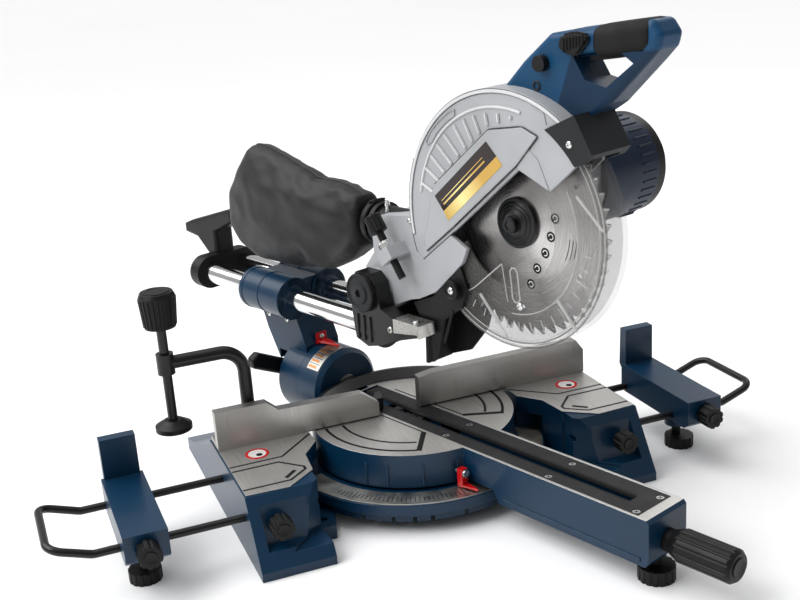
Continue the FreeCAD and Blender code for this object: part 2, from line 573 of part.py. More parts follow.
def motor():
    box_side = [(-220, 290), (-220, 372), (-196, 398), (-150, 398), (-128, 372), (-128, 300), (-150, 276), (-196, 276)]
    case = slab("yz", box_side, "guard_right", "motor_start")
    core = join(rod("x", 34, 18, 54, "blade_y", "blade_z"),
                rod("x", 20, 18, "motor_start + 1", "motor_y", "motor_z + 8"))
    nose = rod("x", "nose_radius", 10.5, 20, "blade_y", "blade_z")
    spindle_bore = rod("x", 11, 0, 56, "blade_y", "blade_z")
    keep("gearbox", cut(join(case, nose), core, spindle_bore))
    shell = join(rod("x", "motor_radius", "motor_start", "motor_end - 22", "motor_y", "motor_z"),
                 rod("x", "motor_radius - 4", "motor_start", "motor_start + 10", "motor_y", "motor_z"))
    room = rod("x", "motor_radius - 4", "motor_start + 3", "motor_end", "motor_y", "motor_z")
    front_hole = rod("x", 20, 50, 80, "motor_y", "motor_z + 8")
    keep("motor_housing", cut(shell, room, front_hole))
    cap = join(rod("x", "motor_radius", "motor_end - 22", "motor_end - 12", "motor_y", "motor_z"),
               rod("x", "motor_radius", "motor_end - 12", "motor_end", "motor_y", "motor_z", "motor_radius - 9"))
    vents = [box("motor_end - 14", "motor_end + 1", f"motor_y + {offset - 2}", f"motor_y + {offset + 2}",
                 "motor_z - 26", "motor_z + 26") for offset in range(-24, 25, 8)]
    keep("motor_end_cap", cut(cap, rod("x", "motor_radius - 5", "motor_end - 23", "motor_end - 8", "motor_y", "motor_z"),
                              *vents))
    keep("stator", ring("x", 45.9, 33, 76, 118, "motor_y", "motor_z"))
    spindle = rod("x", "spindle_radius", -14, 50, "blade_y", "blade_z")
    keep("spindle", spindle)
    keep("driven_gear", ring("x", "gear_radius", "spindle_radius", 36, 46, "blade_y", "blade_z"))
    shaft = rod("x", 5, 30, 140, "motor_y", "motor_z + 8")
    pinion = rod("x", "pinion_radius", 36, 46, "motor_y", "motor_z + 8")
    core = rod("x", 24, 78, 116, "motor_y", "motor_z + 8")
    commutator = rod("x", 12, 120, 132, "motor_y", "motor_z + 8")
    keep("armature", join(shaft, pinion, core, commutator))
    bearings = [ring("x", 11, "spindle_radius + running", start, start + 8, "blade_y", "blade_z") for start in (11, 20)]
    keep("bearings", group(*bearings))


def handle(bracket):
    side = [(-165, 398), (-165, 442), (-186, 462), (-218, 487), (-325, 501), (-334, 489), (-331, 478), (-319, 466),
            (-283, 432), (-262, 420), (-228, 404)]
    finger = [(-246, 468), (-258, 450), (-280, 445), (-308, 466), (-294, 475)]
    whole = slab("yz", side, -8, 26)
    whole = soften(whole, 7, lambda middle, along: middle.z > 445)
    window = slab("yz", finger, -20, 40)
    saddle = slab("yz", [(-246, 492.2), (-316, 501.4), (-318, 476), (-294, 475.1), (-246, 468.1)], -9.5, 27.5)
    inside = slab("yz", [(-240, 486), (-320, 497), (-320, 460), (-240, 460)], -4, 22)
    grip = cut(saddle, inside)
    guard_room = rod("x", "guard_outer + 0.05", -40, "guard_right + 0.05", "blade_y", "blade_z")
    gear_room = box("guard_right", 60, -222, -100, 300, 398.1)
    switch_room = slab("yz", [(-252, 480), (-298, 486), (-297, 462), (-252, 460)], 1.5, 16.5)
    button_bore = rod("x", 7.05, -20, 6, -212, 462)
    room = join(window, guard_room, gear_room, switch_room, button_bore, bracket, grip)
    keep("handle_left", cut(meet(whole, box(-20, 9, -400, 0, 300, 600)), room))
    keep("handle_right", cut(meet(whole, box(9, 40, -400, 0, 300, 600)), room))
    keep("handle_grip", grip)


def trigger():
    lever = slab("yz", [(-254, 473), (-294, 478), (-292, 469), (-256, 464)], 2, 16)
    keep("trigger", lever)
    keep("lock_button", rod("x", 7, -15, -1, -212, 462))


def blade():
    disc = ring("x", "blade_radius", "spindle_radius + 2", "blade_x - blade_thick / 2", "blade_x + blade_thick / 2",
                "blade_y", "blade_z")
    keep("saw_blade", disc)
    outer = join(rod("x", 24, -7.5, "blade_x - blade_thick / 2", "blade_y", "blade_z"),
                 rod("x", 11, -12, -7.5, "blade_y", "blade_z", 21), rod("x", 8, -17, -12, "blade_y", "blade_z"))
    inner = rod("x", 20, "blade_x + blade_thick / 2", 9, "blade_y", "blade_z")
    bore = rod("x", "spindle_radius", -14, 20, "blade_y", "blade_z")
    keep("blade_flanges", group(cut(outer, bore), cut(inner, bore)))


def lower_guard():
    radius = SIZE["cover_radius"]
    sector = slab("yz", sector_points(radius, 126, 333) + [(SIZE["blade_y"] + 20, SIZE["blade_z"] - 2),
                                                          (SIZE["blade_y"], SIZE["blade_z"] + 18)], -20, 9)
    room = rod("x", "blade_radius + 4.5", -18, 6.5, "blade_y", "blade_z")
    left_open = rod("x", 58, -30, -17, "blade_y", "blade_z")
    pivot = ring("x", 34, "nose_radius + running", 6.5, 10.4, "blade_y", "blade_z")
    right_hole = rod("x", "nose_radius + running", 5, 20, "blade_y", "blade_z")
    keep("lower_guard", cut(join(cut(sector, room, left_open), pivot), right_hole))


def depth_screw():
    shank = rod("z", 4, -70, -10, "stop_x", 0)
    nut = rod("z", 7, -35, -30, "stop_x", 0)
    knob = fluted("z", 9, -17, 0, "stop_x", 0, 12, 1.2)
    keep("depth_stop_screw", tilted(join(shank, nut, knob)))


# ---------------------------------------------------------------- extension supports
def support(name, side, centre):
    """Rod loop, block with stop tab, foot and lock knob; side is -1 for the left support."""
    inner_end = centre - side * 139
    near = centre - side * 4
    bend_start = centre + side * 46
    out = centre + side * SIZE["loop_out"]
    lift = 14
    rear, front, high = SIZE["rod_rear"], SIZE["rod_front"], SIZE["rod_height"]
    path = [(inner_end, rear, high), (bend_start, rear, high), (out, rear, high + lift), (out, front, high + lift),
            (bend_start, front, high), (inner_end, front, high)]
    keep(name + "_support_rods", bent(path, SIZE["rod_radius"], 14), swung=False)
    x0, x1 = f"{centre} - block_half", f"{centre} + block_half"
    body = slab("yz", [(3, 44), (3, "table_top - 0.3"), ("block_front", "table_top - 0.3"), ("block_front", 46),
                       ("block_front + 8", 40), (-4, 40)], x0, x1)
    tab = slab("yz", [(-2, 70), (-2, 115), (10, 115), (12, 70), (3, 60)], f"{centre} - 18", f"{centre} + 18")
    pad = rod("z", 13, 24, 44, centre, -78)
    bores = [rod("x", "rod_radius", f"{centre} - 40", f"{centre} + 40", y, "rod_height")
             for y in ("rod_rear", "rod_front")]
    under = box(f"{centre} - 17", f"{centre} + 17", -92, -14, 38, 56)
    under = cut(under, rod("z", 13, 20, 80, centre, -78))
    knob_bore = rod("y", 4.05, -140, -104, centre, 56)
    foot_bore = rod("z", 5.05, 20, 60, centre, -78)
    keep(name + "_support_block", cut(join(body, tab, pad), *bores, under, knob_bore, foot_bore), swung=False)
    foot = join(rod("z", 5, 8, 56, centre, -78), fluted("z", 16, 0, 12, centre, -84, 14, 1.6))
    keep(name + "_support_foot", foot, swung=False)
    knob = join(rod("y", 4, -134, -104.5, centre, 56), fluted("y", 11.5, -149, -133, centre, 56, 9, 2.2))
    keep(name + "_support_knob", knob, swung=False)


# ---------------------------------------------------------------- work clamp
def clamp():
    x, y, high, reach = SIZE["clamp_x"], SIZE["clamp_y"], SIZE["clamp_high"], SIZE["clamp_reach"]
    post = bent([(x, y, 44), (x, y, high), (x - reach - 2, y, high)], SIZE["post_radius"], 24)
    boss = cut(rod("z", 9, high - 11, high + 11, x - reach, y), rod("z", 5.05, 100, 300, x - reach, y))
    keep("clamp_post", join(cut(post, rod("z", 5.05, 100, 300, x - reach, y)), boss), swung=False)
    screw = rod("z", 5, 110, 226, x - reach, y)
    keep("clamp_screw", screw, swung=False)
    knob = join(rod("z", 16, 212, 245, x - reach, y, 18.5), rod("z", 18.5, 245, 249, x - reach, y, 16.5))
    keep("clamp_knob", cut(knob, rod("z", 5, 200, 226, x - reach, y)), swung=False)
    keep("clamp_pad", join(rod("z", 19, 99, 104, x - reach, y), rod("z", 19, 104, 110, x - reach, y, 9)), swung=False)


base_casting()
fence()
base_fittings()
turntable()
turntable_fittings()
mitre_lock()
arm_foot()
bevel_arm()
bevel_lever()
carriage()
arm = head_arm()
upper_guard()
bracket = front_bracket()
chip_chute(arm)
dust_collection()
motor()
handle(bracket)
trigger()
blade()
lower_guard()
depth_screw()
support("left", -1, SIZE["left_block"])
support("right", 1, SIZE["right_block"])
clamp()

doc.recompute()
for thing in doc.Objects:
    if "Invalid" in thing.State or "Error" in thing.State:
        raise RuntimeError(f"{thing.Name} {thing.Label} failed: {thing.State}")
for body in nodes:
    if body.Shape.isNull() or not body.Shape.isValid() or not body.Shape.Solids:
        raise RuntimeError(f"{body.Label} has no valid solid")
    body.Shape.exportStep(f"parts/{body.Label}.step")
print(len(nodes), "sub-parts written")
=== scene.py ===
"""Looks for the sliding compound mitre saw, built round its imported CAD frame.

Outlines are in millimetres. Pieces on the turntable, the arm and the head are drawn in the head's own frame
(x across the blade, y along the rails, z up) and turned by MITRE with it. Pieces on the base and the supports
are drawn in the frame that the CAD nodes use. A plane name such as "yz" says which two axes an outline's
numbers run along.
"""
from math import atan2, cos, exp, pi, radians, sin, tau

import bmesh
import bpy
from mathutils import Matrix, Vector, noise
from mathutils.bvhtree import BVHTree


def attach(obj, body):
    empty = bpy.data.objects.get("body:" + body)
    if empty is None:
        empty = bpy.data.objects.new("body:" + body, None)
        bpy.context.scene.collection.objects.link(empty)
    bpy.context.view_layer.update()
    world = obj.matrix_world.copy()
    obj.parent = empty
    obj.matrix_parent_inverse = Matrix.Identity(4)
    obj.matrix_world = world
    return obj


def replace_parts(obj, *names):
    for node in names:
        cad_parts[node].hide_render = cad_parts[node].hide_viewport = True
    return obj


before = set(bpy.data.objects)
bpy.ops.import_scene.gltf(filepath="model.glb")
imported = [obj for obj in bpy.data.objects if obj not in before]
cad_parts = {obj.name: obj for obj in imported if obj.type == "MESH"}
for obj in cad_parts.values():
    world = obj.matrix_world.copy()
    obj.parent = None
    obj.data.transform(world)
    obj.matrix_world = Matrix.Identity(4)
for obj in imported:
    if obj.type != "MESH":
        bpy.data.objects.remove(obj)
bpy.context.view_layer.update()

MM = 0.001
MITRE = radians(20)
BASE = Matrix.Scale(MM, 4)
HEAD = Matrix.Rotation(MITRE, 4, "Z") @ BASE
TOP = 72.3                      # table height
HUB_Y, HUB_Z = -173, 313.5      # blade axis
BLADE_X = -3                    # middle of the blade's thickness
GUARD_X = -25                   # left face of the upper guard
COVER_X = -20                   # left face of the clear lower guard
FENCE_Y = 5                     # working face of the fence
MOTOR = (-178, 344)             # motor axis
RAIL_X, RAIL_Z = 26, 176        # the two rails stand at plus and minus RAIL_X
CHUTE_BOSS = (-30, -104, 240)
LEFT = (-1, 0, 0)


def add(thing):
    """Put an object in the scene."""
    bpy.context.scene.collection.objects.link(thing)
    return thing


# ---------------------------------------------------------------- materials
NAVY, NAVY_WORN = (0.0016, 0.026, 0.064), (0.03, 0.13, 0.22)
SHELL_BLUE = (0.005, 0.052, 0.125)
NEAR_BLACK = (0.005, 0.005, 0.0055)
BARE = (0.62, 0.60, 0.57)


def darker(colour, share):
    return tuple(c * share for c in colour)


def shader_node(tree, kind, values, **settings):
    """A shader node, with each input linked to a socket or set to a value."""
    made = tree.nodes.new("ShaderNode" + kind)
    for key, value in settings.items():
        setattr(made, key, value)
    for key, value in values.items():
        if isinstance(value, bpy.types.NodeSocket):
            tree.links.new(value, made.inputs[key])
        else:
            made.inputs[key].default_value = value
    return made


class Look:
    """A procedural material: one shader with noise, bump and rounded edges added to it step by step."""

    def __init__(self, name, colour, rough=0.5, metal=0.0, edge=0.6, **inputs):
        self.material = bpy.data.materials.new(name)
        self.material.use_nodes = True
        self.tree = self.material.node_tree
        self.shader = self.tree.nodes["Principled BSDF"]
        self.colour = (*colour, 1)
        self.shader.inputs["Base Color"].default_value = self.colour
        self.shader.inputs["Roughness"].default_value = rough
        self.shader.inputs["Metallic"].default_value = metal
        for key, value in inputs.items():
            self.shader.inputs[key.replace("_", " ")].default_value = value
        self.place = self.node("TexCoord", {}).outputs["Object"]
        self.normal = None
        if edge:
            self.edge_normal = self.node("Bevel", {"Radius": edge * MM}, samples=4).outputs[0]
            self.set_normal(self.edge_normal)

    def node(self, kind, values, **settings):
        return shader_node(self.tree, kind, values, **settings)

    def drive(self, name, socket):
        """Feed one of the shader's own inputs from a socket."""
        self.tree.links.new(socket, self.shader.inputs[name])

    def set_normal(self, socket):
        self.normal = socket
        self.drive("Normal", socket)

    def set_colour(self, socket):
        self.colour = socket
        self.drive("Base Color", socket)

    def maths(self, operation, a, b=0.0, clamp=False):
        return self.node("Math", {0: a, 1: b}, operation=operation, use_clamp=clamp).outputs[0]

    def times(self, a, b):
        return self.maths("MULTIPLY", a, b)

    def spread(self, fac, low, high, to_low=0.0, to_high=1.0):
        """fac from low to high becomes to_low to to_high, and stays within them."""
        return self.node("MapRange", {0: fac, 1: low, 2: high, 3: to_low, 4: to_high}).outputs[0]

    def in_head(self):
        """Coordinates turned about Z, so that X runs across the head."""
        return self.node("Mapping", {"Vector": self.place, "Rotation": (0, 0, -MITRE)}).outputs[0]

    def noise(self, scale, detail=3.0, stretch=None):
        vector = self.place
        if stretch:
            vector = self.node("Mapping", {"Vector": vector, "Scale": stretch}).outputs[0]
        values = {"Vector": vector, "Scale": scale, "Detail": detail, "Roughness": 0.55}
        return self.node("TexNoise", values).outputs[0]

    def mix(self, fac, a, b):
        return self.node("Mix", {0: fac, 6: a, 7: b}, data_type="RGBA").outputs[2]

    def tint(self, fac, colour):
        """Lay another colour over the present one where fac is 1."""
        self.set_colour(self.mix(fac, self.colour, (*colour, 1)))
        return self

    def vary(self, scale, colour, low=0.35, high=0.7, **kind):
        return self.tint(self.spread(self.noise(scale, **kind), low, high), colour)

    def roughen(self, scale, low, high, **kind):
        self.drive("Roughness", self.spread(self.noise(scale, **kind), 0.3, 0.7, low, high))
        return self

    def bump(self, height, distance, strength=1.0):
        values = {"Height": height, "Distance": distance * MM, "Strength": strength}
        if self.normal is not None:
            values["Normal"] = self.normal
        self.set_normal(self.node("Bump", values).outputs[0])
        return self

    def grain(self, scale, distance, strength=1.0, **kind):
        return self.bump(self.noise(scale, **kind), distance, strength)

    def wear(self, colour, amount):
        """Lighter, thinner paint along edges, found from the rounded normal."""
        flat = self.node("NewGeometry", {}).outputs["Normal"]
        dot = self.node("VectorMath", {0: self.edge_normal, 1: flat}, operation="DOT_PRODUCT").outputs["Value"]
        edge = self.spread(dot, 0.985, 0.86)
        patchy = self.spread(self.noise(140), 0.35, 0.75, 0, amount)
        return self.tint(self.maths("MULTIPLY", edge, patchy, True), colour)

    def axis(self, index, place=None):
        return self.node("SeparateXYZ", {0: place or self.place}).outputs[index]

    def facing_up(self, low, high):
        """1 on level faces between two heights in millimetres, 0 elsewhere."""
        height = self.axis(2)
        level = self.maths("GREATER_THAN", self.axis(2, self.node("NewGeometry", {}).outputs["True Normal"]), 0.9)
        over = self.maths("GREATER_THAN", height, low * MM)
        under = self.maths("LESS_THAN", height, high * MM)
        return self.times(level, self.times(over, under))

    def machined(self, low, high):
        """Bare machined metal on level faces at one height, over paint on the rest."""
        mask = self.facing_up(low, high)
        lines = self.noise(900, detail=2, stretch=(1, 0.03, 1))
        shade = self.mix(self.spread(self.noise(14), 0.3, 0.7), (*BARE, 1), (*darker(BARE, 0.86), 1))
        shade = self.mix(self.spread(lines, 0.35, 0.65, 0, 0.5), shade, (0.78, 0.77, 0.75, 1))
        self.set_colour(self.mix(mask, self.colour, shade))
        self.drive("Metallic", self.spread(mask, 0, 1, 0, 0.85))
        self.drive("Roughness", self.spread(mask, 0, 1, 0.36, 0.34))
        return self


def painted(name, colour, worn, rough=0.34, edge=1.1, shine=0.3):
    look = Look(name, colour, rough, edge=edge, Specular_IOR_Level=shine, Coat_Weight=0.12, Coat_Roughness=0.1)
    look.vary(9, darker(colour, 0.8)).wear(worn, 0.55)
    return look.grain(520, 0.05, 0.35).grain(60, 0.12, 0.2)


def moulded(name, colour, rough=0.45, grain=0.05, edge=0.8, scale=900, shine=0.22, **inputs):
    look = Look(name, colour, rough, edge=edge, Specular_IOR_Level=shine, **inputs)
    look.vary(12, darker(colour, 0.75)).roughen(35, rough * 0.85, min(1, rough * 1.2))
    return look.grain(scale, grain, 0.6).grain(50, 0.1, 0.15)


def metal(name, colour, rough, stretch=(1, 1, 1), scale=400, edge=0.5):
    look = Look(name, colour, rough, 1.0, edge=edge)
    look.vary(11, darker(colour, 0.8)).roughen(scale, rough * 0.75, rough * 1.3, stretch=stretch)
    return look.grain(scale, 0.02, 0.4, stretch=stretch)


navy_top = painted("navy_paint_and_machined_top", NAVY, NAVY_WORN).machined(TOP - 0.2, TOP + 0.15)
navy = painted("navy_paint", NAVY, NAVY_WORN)
silver = painted("cast_silver_paint", (0.36, 0.37, 0.385), (0.62, 0.63, 0.64), 0.36, edge=1.6, shine=0.5)
# a lighter copy of the silver paint: a painted highlight on the guard's raised ribs
silver_lit = painted("cast_silver_lit_ribs", (0.60, 0.61, 0.62), (0.75, 0.75, 0.76), 0.3, edge=1.0, shine=0.6)
gear_grey = painted("gearbox_grey", (0.30, 0.31, 0.33), (0.5, 0.5, 0.52), 0.45)
black_paint = painted("black_paint", NEAR_BLACK, (0.04, 0.04, 0.04), 0.34, edge=0.7)
black_cast = painted("black_casting", NEAR_BLACK, (0.03, 0.03, 0.03), 0.38, edge=1.2)
black = moulded("black_plastic", (0.006, 0.006, 0.0065), 0.42)
dark_grey = moulded("dark_grey_plastic", (0.016, 0.017, 0.019), 0.5)
rubber = moulded("black_rubber", (0.007, 0.007, 0.0075), 0.68, 0.25, scale=420)
motor_navy = moulded("motor_plastic", (0.0028, 0.013, 0.036), 0.36)
plain_blue = moulded("blue_collar", SHELL_BLUE, 0.38)
kerf_grey = moulded("kerf_insert", (0.022, 0.022, 0.023), 0.55, 0.08)
red = Look("red_plastic", (0.60, 0.004, 0.006), 0.25, Coat_Weight=0.5).vary(30, (0.42, 0.003, 0.004))
chrome = metal("chrome_rails", (0.80, 0.80, 0.81), 0.10, (1, 0.02, 1), 300)
steel = metal("zinc_steel", (0.58, 0.57, 0.54), 0.3)
bright = metal("bright_steel", (0.78, 0.78, 0.77), 0.2)
bronze = metal("bronze", (0.55, 0.36, 0.16), 0.35)
copper = metal("copper", (0.55, 0.25, 0.1), 0.4)
scale_look = metal("scale_plate", (0.60, 0.59, 0.56), 0.38, scale=60).vary(7, (0.36, 0.33, 0.28))
ink = moulded("ink", (0.006, 0.006, 0.006), 0.5, edge=0)
groove = moulded("groove_black", (0.004, 0.004, 0.004), 0.6, edge=0)
white = moulded("label_white", (0.75, 0.74, 0.72), 0.35, edge=0)
brown = moulded("label_brown", (0.012, 0.003, 0.003), 0.25, edge=0, Coat_Weight=0.4)


def fence_look():
    """Clouded bright aluminium in front, black paint on the middle bow's back."""
    look = metal("fence_aluminium", (0.50, 0.49, 0.47), 0.36, (1, 1, 0.02), 900, edge=0.6)
    look.tint(look.spread(look.noise(5.5, stretch=(0.5, 0.5, 2.4)), 0.42, 0.62, 0, 0.8), (0.27, 0.255, 0.24))
    ribs = look.node("TexWave", {"Vector": look.place, "Scale": 180, "Distortion": 0.4}, bands_direction="X")
    look.bump(look.times(ribs.outputs["Fac"], look.spread(look.noise(12), 0.35, 0.6)), 0.05, 0.5)
    within = look.maths("LESS_THAN", look.maths("ABSOLUTE", look.axis(0)), 116.5 * MM)
    behind = look.times(within, look.maths("GREATER_THAN", look.axis(1), (FENCE_Y + 12.3) * MM))
    look.tint(behind, (0.004, 0.004, 0.0045))
    look.drive("Metallic", look.spread(behind, 0, 1, 1, 0))
    return look


def blade_look():
    """Steel ground in rings, with two painted highlights and two painted shade sweeps round the axis in place of
    the rings' reflection.
    """
    look = Look("blade_steel", (0.34, 0.33, 0.325), 0.24, 1.0, edge=0.3)
    turned = look.in_head()
    y = look.maths("SUBTRACT", look.axis(1, turned), HUB_Y * MM)
    z = look.maths("SUBTRACT", look.axis(2, turned), HUB_Z * MM)
    spot = look.node("CombineXYZ", {0: y, 1: z}).outputs[0]
    radius = look.node("VectorMath", {0: spot}, operation="LENGTH").outputs["Value"]
    angle = look.maths("ARCTAN2", z, y)
    rings = look.node("CombineXYZ", {0: look.times(radius, 2600), 1: look.times(angle, 1.2)})
    lines = look.node("TexNoise", {"Vector": rings.outputs[0], "Scale": 1.0, "Detail": 3.0}).outputs[0]
    # painted reflection: bright and dark sweeps laid into the steel's colour
    glint_sweep = look.maths("SINE", look.maths("ADD", look.times(angle, 2), 0.6))
    look.tint(look.spread(glint_sweep, 0.2, 1, 0, 0.7), (0.72, 0.71, 0.70))
    look.tint(look.spread(glint_sweep, -0.1, -1, 0, 0.8), (0.10, 0.092, 0.09))
    look.tint(look.spread(lines, 0.4, 0.7, 0, 0.4), (0.22, 0.215, 0.21))
    look.drive("Roughness", look.spread(lines, 0.3, 0.7, 0.2, 0.4))
    return look.bump(lines, 0.02, 0.4)


def slanted(look, across, up):
    """Distance in the head's plane along the direction (across, up)."""
    turned = look.in_head()
    return look.maths("ADD", look.times(look.axis(1, turned), across), look.times(look.axis(2, turned), up))


def gold_look():
    """Gold foil with a painted highlight halfway along the label."""
    look = Look("label_gold", (0.55, 0.33, 0.06), 0.3, 0.6, edge=0, Coat_Weight=0.4)
    glint_offset = look.maths("ABSOLUTE", look.maths("SUBTRACT", slanted(look, -0.77, 0.64), 309 * MM))
    # painted highlight: paler gold near the middle of the label
    look.tint(look.spread(glint_offset, 35 * MM, 0, 0, 0.9), (0.95, 0.82, 0.35))
    return look.grain(500, 0.02, 0.3)


def clear_look(name, colour, alpha, rough):
    look = Look(name, colour, rough, edge=0, Alpha=alpha, IOR=1.52, Coat_Weight=0.2, Coat_Roughness=0.15)
    look.material.surface_render_method = "BLENDED"
    return look.vary(18, darker(colour, 0.8)).grain(24, 0.15, 0.15)


def fabric_look():
    """Black nylon with a fine square weave."""
    look = Look("bag_nylon", NEAR_BLACK, 0.55, edge=0, Specular_IOR_Level=0.35, Sheen_Weight=0.08,
                Sheen_Roughness=0.4)
    look.vary(22, (0.012, 0.012, 0.013), 0.4, 0.75)
    for direction in ("X", "Y", "Z"):
        weave = look.node("TexWave", {"Vector": look.in_head(), "Scale": 330, "Distortion": 0.3},
                          bands_direction=direction)
        look.bump(weave.outputs["Fac"], 0.09, 0.35)
    return look.grain(40, 0.8, 0.35)


def handle_look():
    """Blue shells, with painted shade: darker blue on the inner arm below the grip, where that face turns from
    the light.
    """
    look = moulded("blue_plastic", SHELL_BLUE, 0.38)
    inner = look.spread(slanted(look, 0.935, 0.355), -61.5 * MM, -60.5 * MM, 1, 0)
    below = look.spread(look.axis(2, look.in_head()), 475 * MM, 479 * MM, 1, 0)
    # painted shade on the turned-away inner face
    return look.tint(look.times(inner, below), (0.0022, 0.020, 0.050))


blue = handle_look()
fence_metal = fence_look()
blade_metal = blade_look()
gold = gold_look()
clear = clear_look("clear_guard", (0.16, 0.155, 0.15), 0.19, 0.2)
rim = clear_look("clear_rim", (0.15, 0.145, 0.14), 0.5, 0.2)
# whitish clear plastic for the ribs and rim lines: a painted highlight where their edges catch the light
rib_glint = clear_look("clear_ribs", (0.62, 0.62, 0.61), 0.55, 0.2)
nylon = fabric_look()

LOOKS = {
    navy_top: ["base_casting", "turntable_casting"],
    navy: ["bevel_arm_casting", "left_support_block", "right_support_block"],
    fence_metal: ["fence"],
    silver: ["head_arm", "upper_guard"],
    gear_grey: ["gearbox"],
    scale_look: ["mitre_scale", "bevel_scale"],
    steel: ["fence_bolts", "turntable_bolt", "bevel_bolt", "depth_stop_plate", "return_spring", "spindle",
            "driven_gear", "bearings"],
    bright: ["turntable_screws"],
    black: ["left_base_knob", "right_base_knob", "mitre_lock_handle", "arm_foot", "bevel_lock_lever",
            "rear_handle", "chop_pin", "chip_chute", "dust_port", "motor_end_cap", "trigger", "lock_button",
            "depth_stop_screw", "left_support_foot", "right_support_foot", "left_support_knob",
            "right_support_knob", "clamp_knob", "clamp_pad"],
    black_paint: ["left_support_rods", "right_support_rods", "clamp_post", "clamp_screw", "blade_flanges"],
    black_cast: ["carriage_casting"],
    kerf_grey: ["kerf_plate"],
    red: ["mitre_pointer", "bevel_pointer"],
    bronze: ["slide_bushes"],
    copper: ["stator", "armature"],
    chrome: ["slide_rails"],
    dark_grey: ["front_bracket"],
    motor_navy: ["motor_housing"],
    blue: ["handle_left", "handle_right"],
    rubber: ["handle_grip"],
    clear: ["lower_guard"],
    blade_metal: ["saw_blade"],
    nylon: ["dust_bag"],
}
for look, names in LOOKS.items():
    for name in names:
        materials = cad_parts[name].data.materials
        materials.clear()
        materials.append(look.material)


# ---------------------------------------------------------------- mesh pieces
def rounded_copies():
    """Small parts whose sharp CAD edges are rounded over."""
    for name, body, slot, width in (("front_bracket", "head", "black_plastic", 1.3),
                                    ("trigger", "trigger", "black_plastic", 1.5),
                                    ("depth_stop_plate", "carriage", "steel", 0.8)):
        copy = add(bpy.data.objects.new(name + "_rounded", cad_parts[name].data.copy()))
        bevel = copy.modifiers.new("rounded", "BEVEL")
        bevel.width, bevel.segments, bevel.limit_method = width * MM, 4, "ANGLE"
        bevel.angle_limit, bevel.harden_normals = radians(40), True
        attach(copy, body)
        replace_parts(copy, name)


def on_plane(plane, a, b, depth):
    return {"xy": (a, b, depth), "yz": (depth, a, b), "xz": (a, depth, b)}[plane]


